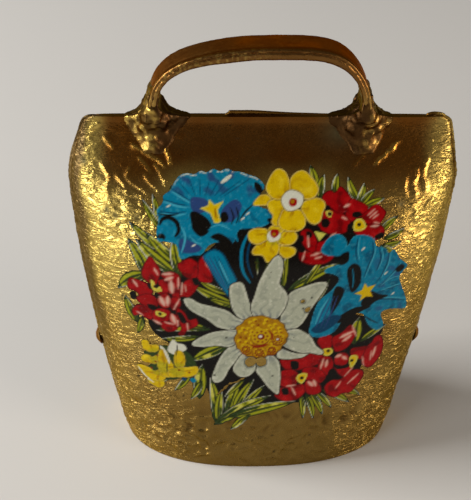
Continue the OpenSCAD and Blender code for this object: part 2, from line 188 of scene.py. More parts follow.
def line_distance(x, y, points):
    """Distance from (x, y) to a line through the points, and how far along it the foot lies."""
    points = np.array(points, float)
    lengths = np.hypot(*np.diff(points, axis=0).T)
    starts = np.concatenate([[0], np.cumsum(lengths)])
    best = np.full(np.broadcast(x, y).shape, 1e9)
    along = np.zeros(best.shape)
    for a, b, length, start in zip(points, points[1:], lengths, starts):
        t = np.clip(((x - a[0]) * (b[0] - a[0]) + (y - a[1]) * (b[1] - a[1])) / length ** 2, 0, 1)
        d = np.hypot(x - mix(a[0], b[0], t), y - mix(a[1], b[1], t))
        along = np.where(d < best, (start + t * length) / starts[-1], along)
        best = np.minimum(best, d)
    return best, along


def outline_distance(x, y, points):
    """Distance from (x, y) to a closed outline, negative inside it."""
    points = np.array(points, float)
    best, _ = line_distance(x, y, np.vstack([points, points[:1]]))
    inside = np.zeros(best.shape, bool)
    for (ax, ay), (bx, by) in zip(points, np.roll(points, -1, axis=0)):
        if ay != by:
            crosses = (ay > y) != (by > y)
            inside ^= crosses & (x < ax + (y - ay) / (by - ay) * (bx - ax))
    return np.where(inside, -best, best)


def rounded(points, steps=5, closed=True):
    """A smooth curve through the points."""
    points = np.array(points, float)
    ring = np.vstack([points[-1:], points, points[:2]]) if closed else \
        np.vstack([points[:1], points, points[-1:]])
    out = []
    for a, b, c, d in zip(ring, ring[1:], ring[2:], ring[3:]):
        for t in np.arange(steps) / steps:
            out.append(0.5 * (2 * b + (c - a) * t + (2 * a - 5 * b + 4 * c - d) * t * t
                              + (3 * b - a - 3 * c + d) * t ** 3))
    if not closed:
        out.append(points[-1])
    return np.array(out)


def corner_distance(a, b):
    """Distance from a square edge between two faces that lie at distances a and b."""
    return np.hypot(np.maximum(a, 0), np.maximum(b, 0)) + np.minimum(np.maximum(a, b), 0)


def blend_union(a, b, k):
    """The union of two distances, with a hollow fillet of size k between them."""
    h = np.maximum(k - np.abs(a - b), 0) / k
    return np.minimum(a, b) - h * h * k / 4


# ---------------------------------------------------------------- meshes

def gradient(solid, points, step):
    out = np.zeros(points.shape)
    for axis in range(3):
        shift = np.eye(3)[axis] * step
        out[:, axis] = (solid(*(points + shift).T) - solid(*(points - shift).T)) / (2 * step)
    return out


def surface_net(solid, low, high, cell):
    """Vertices and quads of the closed surface where solid(x, y, z) is zero, and its normals."""
    low, high = np.array(low, float), np.array(high, float)
    count = np.ceil((high - low) / cell).astype(int) + 1
    x, y, z = (low[k] + cell * np.arange(count[k]) for k in range(3))
    value = solid(x[:, None, None], y[None, :, None], z[None, None, :]) + np.zeros(count)
    inside = value < 0
    corners = list(np.ndindex(2, 2, 2))
    some, every = np.zeros(count - 1, bool), np.ones(count - 1, bool)
    for c in corners:
        part = inside[c[0]:count[0] - 1 + c[0], c[1]:count[1] - 1 + c[1], c[2]:count[2] - 1 + c[2]]
        some |= part
        every &= part
    cells = np.argwhere(some & ~every)
    total, hits = np.zeros((len(cells), 3)), np.zeros(len(cells))
    for axis in range(3):
        step = np.eye(3, dtype=int)[axis]
        for c in corners:
            if c[axis] == 0:
                a = value[tuple((cells + c).T)]
                b = value[tuple((cells + c + step).T)]
                cut = (a < 0) != (b < 0)
                t = np.where(cut, a / np.where(cut, a - b, 1), 0)
                total += cut[:, None] * (c + t[:, None] * step)
                hits += cut
    points = low + cell * (cells + total / hits[:, None])
    number = np.full(count - 1, -1)
    number[tuple(cells.T)] = np.arange(len(cells))
    quads = []
    for axis in range(3):
        step = np.eye(3, dtype=int)
        along, side, up = step[axis], step[(axis + 1) % 3], step[(axis + 2) % 3]
        start = inside[tuple(slice(0, n - s) for n, s in zip(count, along))]
        end = inside[tuple(slice(s, n) for n, s in zip(count, along))]
        edges = np.argwhere(start != end)
        ring = [number[tuple((edges - shift).T)] for shift in (0 * side, side, side + up, up)]
        ring = np.stack(ring, axis=1)
        leaving = start[tuple(edges.T)]
        quads.append(np.where(leaving[:, None], ring, ring[:, ::-1]))
    for _ in range(2):
        slope = gradient(solid, points, cell / 4)
        move = solid(*points.T) / np.maximum(0.2, np.sum(slope ** 2, axis=1))
        points = points - np.clip(move, -cell / 2, cell / 2)[:, None] * slope
    slope = gradient(solid, points, cell / 2)
    normals = slope / np.maximum(1e-6, np.linalg.norm(slope, axis=1, keepdims=True))
    return points, np.vstack(quads), normals


def grid_quads(rows, cols, first=0):
    number = first + np.arange(rows * cols).reshape(rows, cols)
    corners = (number[:-1, :-1], number[:-1, 1:], number[1:, 1:], number[1:, :-1])
    return np.stack([c.ravel() for c in corners], axis=1)


def grid_rim(rows, cols, first=0):
    number = first + np.arange(rows * cols).reshape(rows, cols)
    return np.concatenate([number[0, :-1], number[:-1, -1], number[-1, :0:-1], number[:0:-1, 0]])


def sheet_faces(shape, inner_shape):
    """Faces of a closed sheet whose inner grid is a third as fine as its outer one."""
    count = shape[0] * shape[1]
    outer = grid_quads(*shape)
    inner = grid_quads(*inner_shape, count)[:, ::-1]
    rim, low = grid_rim(*shape), grid_rim(*inner_shape, count)
    faces = outer.tolist() + inner.tolist()
    for k, a in enumerate(low):
        b = low[(k + 1) % len(low)]
        o = [rim[(3 * k + i) % len(rim)] for i in range(4)]
        faces += [[o[0], a, o[1]], [o[1], a, b, o[2]], [o[2], b, o[3]]]
    return faces, len(outer)


def add_piece(name, points, faces, materials, body, replaces=(), inner_from=None,
              colours=None, sharp=35):
    """A mesh object from points in millimetres. Faces from inner_from on use the second material."""
    mesh = bpy.data.meshes.new(name)
    faces = faces.tolist() if isinstance(faces, np.ndarray) else faces
    mesh.from_pydata((np.asarray(points) * MM).tolist(), [], faces)
    for material in materials:
        mesh.materials.append(material)
    if inner_from is not None:
        index = np.zeros(len(faces), int)
        index[inner_from[0]:inner_from[1]] = 1
        mesh.polygons.foreach_set("material_index", index.tolist())
    mesh.polygons.foreach_set("use_smooth", [True] * len(faces))
    mesh.set_sharp_from_angle(angle=math.radians(sharp))
    if colours is not None:
        layer = mesh.color_attributes.new("paint", "FLOAT_COLOR", "POINT")
        layer.data.foreach_set("color", np.asarray(colours, np.float32).ravel())
    mesh.validate()
    piece = bpy.data.objects.new(name, mesh)
    bpy.context.scene.collection.objects.link(piece)
    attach(piece, body)
    if replaces:
        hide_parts(*replaces)
    return piece


def grid_normals(grid):
    """Outward normals of a grid of points whose columns run with the angle and rows upwards."""
    across, up = np.gradient(grid, axis=1), np.gradient(grid, axis=0)
    normal = np.cross(across, up)
    return normal / np.maximum(1e-9, np.linalg.norm(normal, axis=-1, keepdims=True))


# ---------------------------------------------------------------- materials

def srgb(*rgb):
    """Linear colour from the 0-255 values that a screen shows."""
    c = np.array(rgb, float) / 255
    return np.where(c <= 0.04045, c / 12.92, ((c + 0.055) / 1.055) ** 2.4)


class Finish:
    """A Principled material and short calls that add nodes to it."""

    def __init__(self, name):
        self.material = bpy.data.materials.new(name)
        self.material.use_nodes = True
        self.tree = self.material.node_tree
        self.shader = self.tree.nodes["Principled BSDF"]
        self.place = self.tree.nodes.new("ShaderNodeTexCoord").outputs["Object"]

    def put(self, node, name, value):
        socket = node.inputs[name]
        if isinstance(value, bpy.types.NodeSocket):
            self.tree.links.new(value, socket)
        else:
            socket.default_value = value

    def set(self, **values):
        for name, value in values.items():
            self.put(self.shader, name.replace("_", " "), value)

    def noise(self, scale, detail=3.0, roughness=0.6, distortion=0.0, stretch=(1, 1, 1)):
        """Noise with features about 1/scale metres across."""
        turn = self.tree.nodes.new("ShaderNodeMapping")
        self.put(turn, "Vector", self.place)
        self.put(turn, "Scale", stretch)
        node = self.tree.nodes.new("ShaderNodeTexNoise")
        self.put(node, "Vector", turn.outputs[0])
        for name, value in (("Scale", scale), ("Detail", detail), ("Roughness", roughness),
                            ("Distortion", distortion)):
            self.put(node, name, value)
        return node.outputs["Fac"]

    def spread(self, value, low, high, to_low=0.0, to_high=1.0):
        node = self.tree.nodes.new("ShaderNodeMapRange")
        node.interpolation_type = "SMOOTHSTEP"
        for name, number in (("Value", value), ("From Min", low), ("From Max", high),
                             ("To Min", to_low), ("To Max", to_high)):
            self.put(node, name, number)
        return node.outputs[0]

    def mixed(self, factor, a, b, way="MIX"):
        node = self.tree.nodes.new("ShaderNodeMix")
        node.data_type = "RGBA"
        node.blend_type = way
        self.put(node, 0, factor)
        for index, colour in ((6, a), (7, b)):
            if not isinstance(colour, bpy.types.NodeSocket):
                colour = (*colour, 1.0)
            self.put(node, index, colour)
        return node.outputs[2]

    def maths(self, a, b, way="ADD"):
        node = self.tree.nodes.new("ShaderNodeMath")
        node.operation = way
        self.put(node, 0, a)
        self.put(node, 1, b)
        return node.outputs[0]

    def paint(self):
        node = self.tree.nodes.new("ShaderNodeAttribute")
        node.attribute_name = "paint"
        return node

    def relief(self, height, depth, strength=1.0):
        """Bump of the given depth in millimetres."""
        node = self.tree.nodes.new("ShaderNodeBump")
        self.put(node, "Strength", strength)
        self.put(node, "Distance", depth * MM)
        self.put(node, "Height", height)
        self.put(self.shader, "Normal", node.outputs[0])


def skin_finish():
    """Gold-coloured crinkled skin. The paint layer holds its tint, with painted shade and highlight in it,
    and its alpha the gloss.
    """
    f = Finish("gold_skin")
    paint = f.paint()
    mottle = f.spread(f.noise(260, 4), 0.3, 0.7)
    colour = f.mixed(f.maths(mottle, 0.3, "MULTIPLY"), paint.outputs["Color"], (0.62, 0.54, 0.42),
                     "MULTIPLY")
    specks = f.spread(f.noise(900, 2), 0.70, 0.78)
    colour = f.mixed(specks, colour, tuple(srgb(58, 42, 20)))
    fine = f.noise(2100, 4, 0.65, 0.6)
    wrinkle = f.noise(620, 3, 0.55, 1.1, (0.34, 0.34, 1))
    wrinkle = f.maths(f.maths(wrinkle, 0.5, "SUBTRACT"), 1.0, "ABSOLUTE")
    wrinkle = f.spread(wrinkle, 0.0, 0.09, 1.0, 0.0)
    split = f.tree.nodes.new("ShaderNodeSeparateXYZ")
    f.put(split, 0, f.place)
    off_middle = f.maths(split.outputs["X"], 0.0, "ABSOLUTE")
    aside = f.spread(off_middle, 0.014, 0.028, 0.12, 1.0)
    low = f.spread(split.outputs["Z"], 0.072, 0.081, 1.0, 0.15)
    rim = f.spread(off_middle, 0.039, 0.043)
    weight = f.maths(f.maths(aside, f.maths(low, rim, "MAXIMUM"), "MULTIPLY"), 0.14, "MULTIPLY")
    f.set(Base_Color=colour, Metallic=1.0, Specular_Tint=(0.9, 0.72, 0.42, 1.0))
    rough = f.maths(f.spread(fine, 0.3, 0.75, 0.02, 0.16), paint.outputs["Alpha"])
    f.set(Roughness=rough)
    height = f.maths(f.maths(wrinkle, weight, "MULTIPLY"), f.maths(fine, 0.035, "MULTIPLY"))
    f.relief(height, 1.0)
    return f.material


def inside_finish():
    """Dull oxidised brass of the inside, with darker stains."""
    f = Finish("dull_brass_inside")
    stain = f.spread(f.noise(120, 5, 0.65), 0.35, 0.7)
    colour = f.mixed(stain, tuple(srgb(142, 108, 62)), tuple(srgb(84, 58, 32)))
    f.set(Base_Color=colour, Metallic=1.0)
    f.set(Roughness=f.spread(f.noise(700, 4), 0.3, 0.7, 0.38, 0.6))
    f.relief(f.noise(1400, 4), 0.05, 0.7)
    return f.material


def patina_finish():
    """Red-brown patina of the handle strap, worn to brass on its edges by the paint layer."""
    f = Finish("brown_patina")
    paint = f.paint()
    streak = f.spread(f.noise(420, 4, 0.6, 0.4, (0.35, 1, 1)), 0.3, 0.72)
    colour = f.mixed(f.maths(streak, 0.5, "MULTIPLY"), paint.outputs["Color"], (0.5, 0.42, 0.34),
                     "MULTIPLY")
    f.set(Base_Color=colour, Metallic=1.0, Specular_Tint=(0.8, 0.4, 0.15, 1.0))
    grain = f.noise(2200, 4, 0.6)
    f.set(Roughness=f.maths(f.spread(grain, 0.3, 0.7, 0.06, 0.2), paint.outputs["Alpha"]))
    f.relief(grain, 0.05, 0.7)
    return f.material


def braze_finish():
    """Lumpy braze under the same gold skin, greyer in patches."""
    f = Finish("crinkled_braze")
    patch = f.spread(f.noise(330, 3), 0.42, 0.66)
    colour = f.mixed(patch, tuple(srgb(196, 156, 84)), tuple(srgb(150, 118, 78)))
    colour = f.mixed(f.spread(f.noise(600, 3), 0.55, 0.72), colour, tuple(srgb(96, 66, 34)))
    f.set(Base_Color=colour, Metallic=1.0)
    fine = f.noise(1500, 4, 0.6, 0.8)
    f.set(Roughness=f.spread(fine, 0.3, 0.7, 0.2, 0.42))
    f.relief(fine, 0.09, 0.8)
    return f.material


def steel_finish():
    """Grey steel of the clapper with brown rust films."""
    f = Finish("aged_steel")
    rust = f.spread(f.noise(260, 5, 0.7), 0.46, 0.68)
    colour = f.mixed(rust, tuple(srgb(132, 126, 118)), tuple(srgb(104, 72, 48)))
    f.set(Base_Color=colour, Metallic=f.spread(rust, 0, 1, 1.0, 0.55))
    f.set(Roughness=f.spread(rust, 0, 1, 0.36, 0.68))
    f.relief(f.noise(1700, 4), 0.06, 0.7)
    return f.material


SKIN = skin_finish()
INSIDE = inside_finish()
PATINA = patina_finish()
BRAZE = braze_finish()
STEEL = steel_finish()


# ---------------------------------------------------------------- crinkled skin of the sheets

SKIN_SINK, SKIN_TOP = 0.24, 0.4
MOUTH_WEAR_R = 0.26
SHEET_ROWS, CORNER_ROWS = 238, 14
FRONT_COLS, REAR_COLS = 331, 322

# Raised creases on the front: height, then (x, rise) points. Many of the points come from the
# photograph through a scratch script, as report.md says under its open failure.
CREASES = [
    (0.36, [(-32.9, 94.1), (-31.3, 93.3), (-29.4, 92.4), (-27.7, 91.2), (-26, 90.2), (-24.6, 88.8),
            (-23.6, 87.4)]),
    (0.38, [(-25.6, 95), (-24.8, 93.8), (-23.6, 92.1), (-23.1, 90.4), (-22.7, 88.2)]),
    (0.30, [(-27.2, 89.6), (-25.8, 88.2), (-25.1, 87), (-24.3, 85.2), (-23.6, 83.4)]),
    (0.36, [(-39.9, 89.8), (-38.9, 88.4), (-38, 86.6), (-37.5, 84.6), (-38, 82.8), (-37.7, 80.2)]),
    (0.26, [(-38.8, 95.6), (-37.2, 93.9), (-36, 92.1)]),
    (0.24, [(-42, 97), (-40.6, 98), (-39.6, 99)]),
    (0.26, [(-36, 86.4), (-34.9, 85.2), (-33.4, 83.2)]),
    (0.26, [(-33.4, 86.8), (-32.5, 84.9), (-30.8, 83.7), (-29.2, 82.7), (-27.6, 81.5)]),
    (0.26, [(-29.2, 87.2), (-27.9, 84.9), (-26.3, 83.4), (-25.2, 81.6)]),
    (0.24, [(-33.8, 83), (-32.7, 80.3)]),
    (0.22, [(-32.2, 88.4), (-33.2, 86.6), (-33.6, 84.6)]),
    (0.20, [(-31, 91.2), (-28.6, 88.6), (-27.4, 86.4)]),
    (0.18, [(-27.9, 96), (-24.1, 96.2), (-21.7, 96.2), (-20.5, 95.7), (-19.1, 96.6)]),
    (0.34, [(25.6, 88.6), (29.2, 91.4), (31.1, 93.3), (33, 95.1)]),
    (0.22, [(21, 88.2), (22.8, 90.4), (24.2, 91.6)]),
    (0.34, [(39.9, 91.2), (38.8, 88), (38.6, 85.3), (39.2, 83.4), (38.8, 80.9)]),
    (0.32, [(36.6, 88.6), (36.9, 86), (36.2, 83), (36.8, 79.4)]),
    (0.26, [(35, 78), (37, 76), (36.3, 74.4), (37.6, 72.5)]),
    (0.24, [(41.6, 79.3), (39, 76.1)]),
    (0.24, [(34.2, 86.4), (33.8, 83), (34.4, 80)]),
    (0.24, [(9, 12.3), (6.8, 8.7), (4.2, 2.9)]),
    (0.26, [(19, 19.6), (19.2, 13.9), (20.4, 3.9)]),
    (0.20, [(21.7, 18.3), (20.2, 10.8), (19.7, 7.8)]),
    (0.18, [(-3.4, 12), (-1.6, 6.2), (-2.2, 3.1)]),
    (0.32, [(-18.3, 2.3), (-13.8, 4.1), (-11, 6.7)]),
    (0.28, [(-27, 18), (-22.6, 15.4), (-19, 14.8), (-16.4, 12.6)]),
    (0.26, [(-25, 8.6), (-21.4, 10.2), (-18.8, 8.6)]),
    (0.24, [(-31, 26), (-28.4, 22.8), (-27, 18.6)]),
    (0.18, [(15, 16.3), (15.8, 11.8), (15.3, 8.8)]),
]


def transfer_cover(x, rise):
    """About 1 where the flower transfer lies, 0 well outside it."""
    return smooth(1.9 - np.hypot((x - 0.8) / 38, (rise - 51.5) / 38) * 1.9)


def crinkle(place, front):
    """Height in millimetres of the crinkled skin at points of the bell's form."""
    x, y, z = place[..., 0], place[..., 1], place[..., 2]
    rise = rise_of(z)
    flat = np.stack([x, y, rise], axis=-1)
    sway = np.stack([noise(flat / 7, 11), noise(flat / 7, 12), noise(flat / 6, 13)], axis=-1)
    ripple = ridges((flat + 1.5 * sway) / (3.6, 3.6, 1.35), 21)
    ripple2 = ridges((flat + 2.2 * sway) / (2.1, 2.1, 0.95), 31)
    crumple = ridges((flat + 2.5 * sway) / 3.4, 41)
    slow = noise(flat / 9, 51)
    if front:
        ripples = np.clip(smooth((-x - 17) / 12) + smooth((x - 30) / 8), 0, 1)
        folds = smooth((rise - 79) / 5) * smooth((x + 43) / 3) * smooth((43 - x) / 3)
        ripples = ripples * (1 - 0.85 * folds)
        crumples = 1.5 * bump(x, rise, -20, 9, 17, 12) + 0.7 * bump(x, rise, -34, 76, 8, 8)
        crumples = crumples + 0.35 * bump(x, rise, 38, 76, 6, 9) + 0.18 + 0.8 * smooth((24 - rise) / 9)
        calm = smooth((rise - 84) / 6) * smooth((24 - np.abs(x)) / 8)
        crumples = crumples * (1 - 0.8 * calm)
        quiet = 1 - 0.72 * transfer_cover(x, rise)
        quiet = quiet * (1 - 0.85 * bump(x, rise, 40, 89, 6, 14))
    else:
        ripples = 0.55 + 0.35 * noise(flat / 22, 61)
        crumples = 0.45 + 0.4 * noise(flat / 17, 62)
        quiet = 1.0
    height = quiet * (ripples * (0.17 * ripple + 0.10 * ripple2) + crumples * 0.24 * crumple)
    height = height + 0.10 * slow
    if front:
        height = height + 0.2 * smooth((22 - rise) / 8) * noise(flat / 3.6, 54)
        raised = 0
        wander = 0.35 * noise(flat / 2.2, 71)
        for tall, line in CREASES:
            d, along = line_distance(x + wander, rise - wander, rounded(line, 4, closed=False))
            ends = smooth(along / 0.14) * smooth((1 - along) / 0.14)
            raised = np.maximum(raised, 1.1 * tall * ends * np.exp(-(d / 0.45) ** 2))
        height = height + raised * (y < 0)
    return height


def skin_lift(height):
    """How far the skin stands out of the bell's form for a height of its crinkles."""
    return np.minimum(height - SKIN_SINK, SKIN_TOP)


def from_side(p):
    """Angle to the nearer side seam."""
    return np.abs((p + 90) % 180 - 90)


def lapped(p):
    return 1 - smooth((from_side(p) - LAP_BLEND_FROM) / (LAP_BLEND_TO - LAP_BLEND_FROM))


def feather(p, z):
    """Thins the lap towards its front edges, except near the top on the right."""
    edge = np.minimum(p + LAP_REACH, 180 + LAP_REACH - p)
    kept = smooth((z - 70) / 8) * (np.abs(p) < 60)
    return mix(0.2 + 0.8 * smooth((edge + 0.3) / 4.5), 1, kept)


def even_angles(first, last, count):
    """Angles that divide the middle section into equal lengths."""
    p = np.linspace(first, last, 4001)
    ring = skin_point(p, np.full(p.shape, 50.0), 0)
    length = np.concatenate([[0], np.cumsum(np.linalg.norm(np.diff(ring, axis=0), axis=1))])
    return np.interp(np.linspace(0, length[-1], count), length, p)


def sheet_heights(count):
    """Row heights, evenly spaced along the front and closer at the two rims."""
    rim = np.array([0, 0.05, 0.14, MOUTH_WEAR_R])
    rise = np.linspace(rise_of(0.55), rise_of(CORNER_Z), count - len(rim) - CORNER_ROWS)
    corner = CORNER_Z + CORNER_R * np.sin(np.linspace(0, math.pi / 2, CORNER_ROWS + 1)[1:])
    return np.concatenate([rim, height_of(rise), corner])


def rim_round(z):
    """How far the sheet's outer face draws back at the worn mouth rim."""
    u = np.clip((MOUTH_WEAR_R - z) / MOUTH_WEAR_R, 0, 1)
    return MOUTH_WEAR_R * (1 - np.sqrt(1 - u * u))


def skin_tint(place, height, front):
    """Colour and gloss of the skin at each point, with painted shade, reflection and highlight laid into
    the colour.
    """
    x, y, z = place[..., 0], place[..., 1], place[..., 2]
    rise = rise_of(z)
    gold = srgb(204, 178, 96)
    tan = srgb(106, 84, 40)
    umber_and_roof_shade = srgb(118, 66, 18)
    side_shade_taupe = srgb(92, 72, 50)
    verdigris = srgb(84, 92, 70)
    colour = np.zeros(x.shape + (3,)) + gold
    rough = 0.12 + 0.1 * smooth((np.abs(x) - 31) / 5)

    def lay(mask, tint, gloss):
        nonlocal colour, rough
        mask = np.clip(mask, 0, 1)
        colour = mix(colour, tint, mask[..., None])
        rough = mix(rough, gloss, mask)

    cloud = noise(place / 11, 81)
    # Tan towards the bottom middle and duller gold over the lower part: partly a duller surface, partly
    # painted shade on the lower front.
    lay(smooth((44 - rise) / 26 + 0.25 * cloud) * smooth((38 - np.abs(x)) / 14), tan, 0.25)
    lay(0.8 * smooth((66 - rise + 3 * cloud) / 34), srgb(156, 126, 66), 0.18)
    lay(0.6 * bump(x, 0 * x, 26, 0, 13, 1) * smooth((rise - 30) / 20), srgb(172, 124, 58), 0.14)
    # Taupe along the side edges, weaker on the right: painted shade for the darker surroundings that the
    # sides reflect.
    side = smooth((np.abs(x) + 1.5 * cloud - half_w(z) + 4.2) / 2.4)
    side = side * mix(1, 0.4, smooth(x / 10))
    lay(0.9 * side * smooth((rise - 20) / 30), side_shade_taupe, 0.3)
    # Mid-brown on the shoulders between the roof and the bright side bands: partly a browner surface,
    # partly painted shade.
    shoulder = smooth((rise - 76 + 4 * cloud) / 10) * smooth((np.abs(x) - 20) / 8)
    lay(0.75 * shoulder * smooth((half_w(z) - 5.5 - np.abs(x) + 2 * cloud) / 4), srgb(150, 104, 46), 0.15)
    # Umber over the roof, darker still under the ridge and lighter towards its ends: partly a browner
    # surface, partly painted shade for the dark room that the roof reflects.
    roof = smooth((rise - 82 + 3 * cloud) / 9) * smooth((42 - np.abs(x) + 2 * cloud) / 5)
    lay(0.95 * roof, umber_and_roof_shade, 0.16)
    lay(0.6 * roof * smooth((np.abs(x) - 20) / 12), srgb(146, 96, 36), 0.16)
    lay(0.6 * roof * smooth((z - BODY_H + 4.5) / 3.5), srgb(84, 44, 12), 0.2)
    # Lighter gold on the raised creases of the roof: painted highlight on their crests, partly brass
    # showing through.
    lay(0.85 * roof * smooth((height - 0.14) / 0.14), srgb(176, 138, 62), 0.16)
    # Darker in the hollows of the crinkles: painted shade, partly dirt.
    lay(0.6 * smooth((0.5 - height / 0.2)) * smooth((rise - 8) / 8), srgb(112, 84, 44), 0.26)
    lay(0.55 * smooth((-0.04 - height) / 0.07) * smooth((rise - 8) / 8), srgb(62, 42, 20), 0.36)
    # Darker still at the bottom middle: partly a duller surface, partly painted shade.
    lay(0.4 * smooth((27 - rise) / 10) * smooth((27 - np.abs(x)) / 12), srgb(82, 62, 28), 0.24)
    spots = smooth((noise(place / 1.5, 91) - 0.62) / 0.12) * smooth((noise(place / 9, 92)) / 0.3)
    lay(0.8 * spots, srgb(50, 46, 34), 0.45)
    if front:
        lay(0.65 * bump(x, rise, 18.5, 96.5, 4.5, 3.4), verdigris, 0.4)
        for cx, cr in ((-38.3, 76), (-36.2, 75), (-43.5, 89), (-31, 75), (33, 78.5)):
            lay(0.8 * bump(x, rise, cx, cr, 0.9, 1.2), srgb(60, 64, 52), 0.45)
    return np.concatenate([colour, rough[..., None]], axis=-1)


def bell_sheet(name, first, last, cols, out, under, front, extra=None):
    """One of the two sheets: a fine crinkled outer face and a plainer inner one."""
    p, z = np.meshgrid(even_angles(first, last, cols), sheet_heights(SHEET_ROWS))
    form = skin_point(p, z, out(p, z))
    normal = grid_normals(form)
    height = crinkle(form, front)
    covered = smooth((from_side(p) * np.sign(-form[..., 1]) - LAP_REACH) / 4) if front else 1.0
    edge = smooth(z / 3) * smooth((BODY_H - z) / 1.5)
    lift = skin_lift(height) * covered * edge
    outer = form + normal * (lift - rim_round(z))[..., None]
    outer[..., 1] = np.clip(outer[..., 1], CAD_LOW[1], CAD_HIGH[1])
    outer[..., 0] = np.clip(outer[..., 0], CAD_LOW[0], CAD_HIGH[0])
    ip, iz = p[::3, ::3], z[::3, ::3]
    inner = skin_point(ip, iz, under(ip, iz))
    dent = 0.12 * noise(inner / 5, 101) * smooth(iz / 3) * smooth((BODY_H - 4 - iz) / 3)
    inner = inner + (-0.12 + dent)[..., None] * grid_normals(inner) * (1 if front else 0.5)
    tint = skin_tint(form, height, front)
    inner_tint = np.zeros(inner.shape[:2] + (4,)) + (*srgb(120, 88, 42), 0.3)
    faces, inner_from = sheet_faces(p.shape, ip.shape)
    inner_to = inner_from + (ip.shape[0] - 1) * (ip.shape[1] - 1)
    points = np.vstack([outer.reshape(-1, 3), inner.reshape(-1, 3)])
    colours = np.vstack([tint.reshape(-1, 4), inner_tint.reshape(-1, 4)])
    for more_points, more_faces in extra or []:
        faces += (more_faces + len(points)).tolist()
        points = np.vstack([points, more_points])
        tint = skin_tint(more_points, 0.2 + 0 * more_points[:, 0], False)
        colours = np.vstack([colours, tint])
    return add_piece(name + "_skin", points, faces, [SKIN, INSIDE], "bell", [name],
                     (inner_from, inner_to), colours)


def rear_tongue(outline):
    """A tongue of the rear sheet that stands above the ridge, with softened edges."""
    curve = rounded(outline, 4)
    low, high = curve.min(axis=0) - 0.6, curve.max(axis=0) + 0.6
    soft = 0.26

    def solid(x, y, z):
        flat = outline_distance(x, z, curve) + soft
        thick = np.abs(y - FIN + SHEET_T / 2) - SHEET_T / 2 + 0.03 + soft
        return corner_distance(flat, thick) - soft

    points, faces, _ = surface_net(solid, (low[0], -1.2, low[1]), (high[0], 2.2, high[1]), 0.16)
    return points, faces


def rear_tongues():
    root, end = BODY_H - 1.5, half_w(np.array(CORNER_Z)) + LAP_T
    step = [
        (-STEP_LEFT, root), (-STEP_LEFT, BODY_H + STEP_H - 0.3), (-STEP_LEFT + 0.2, BODY_H + STEP_H),
        (-STEP_LEFT + 3, BODY_H + STEP_H), (-STEP_LEFT + 6, BODY_H + STEP_H),
        (mix(-STEP_LEFT, STEP_RIGHT, 0.55), BODY_H + STEP_H * 0.45), (STEP_RIGHT, BODY_H - 0.1),
        (STEP_RIGHT, root),
    ]
    start, top = RIDGE_W / 2 - CORNER_LEN, BODY_H + CORNER_LIFT
    corner = [
        (start, BODY_H - 1.5), (start + 0.1, BODY_H), (start + 1.2, top - 0.1), (start + 2.6, top),
        (start + 4.4, top - 0.4), (end - 1.2, BODY_H - 1.1), (end - 0.3, CORNER_Z + 0.5),
        (end - 0.1, CORNER_Z - 0.4), (end - 1, CORNER_Z - 0.6),
    ]
    return [rear_tongue(step), rear_tongue(corner)]


bell_sheet(
    "front_shell", 180 - LAP_UNDER, 360 + LAP_UNDER, FRONT_COLS,
    lambda p, z: 0 * p, lambda p, z: -SHEET_T + 0 * p, True)
bell_sheet(
    "rear_shell", -LAP_REACH, 180 + LAP_REACH, REAR_COLS,
    lambda p, z: LAP_T * lapped(p) * feather(p, z),
    lambda p, z: mix(-SHEET_T, LAP_GAP, lapped(p)), False, rear_tongues())


# ---------------------------------------------------------------- flower transfer

# Places on the print are (x, rise). They follow the print in the photograph: the outlines of the
# edelweiss and the gentians and many ends of leaves come from points marked on it and turned into
# millimetres by scratch scripts, and the others were read off it by eye. report.md calls this an
# open failure.

BLACK, INK = srgb(14, 12, 10), srgb(30, 24, 18)
LEAF, LEAF_PALE, LEAF_DEEP = srgb(150, 152, 26), srgb(192, 188, 84), srgb(44, 62, 26)
WOOL, WOOL_SHADE, WHITE = srgb(168, 172, 156), srgb(124, 130, 120), srgb(206, 206, 192)
BLUE, BLUE_PALE, BLUE_DEEP = srgb(2, 114, 150), srgb(60, 156, 184), srgb(4, 58, 92)
VIOLET = srgb(40, 64, 116)
YELLOW, AMBER, RUST = srgb(204, 172, 4), srgb(152, 104, 2), srgb(122, 30, 2)
RED, RED_DEEP, RED_LIT = srgb(148, 2, 8), srgb(84, 0, 4), srgb(184, 22, 24)
PINK = srgb(222, 150, 136)
YELLOW_LIT, OLIVE, OLIVE_DEEP = srgb(222, 196, 40), srgb(120, 110, 60), srgb(62, 50, 8)
DISC_BASE, DISC_EDGE, DISC_SHADE = srgb(168, 120, 2), srgb(90, 66, 30), srgb(128, 62, 4)
WOOL_SLATE, RUST_STROKE = srgb(96, 106, 118), srgb(132, 30, 2)

FILM_CELL = 0.3
FILM_T, FILM_GAP = 0.10, 0.03
INK_EDGE = 0.26


def inked(d):
    """How much ink lies at distance d from an outline, over 1 well inside, below 0 outside."""
    return 0.5 - d / INK_EDGE


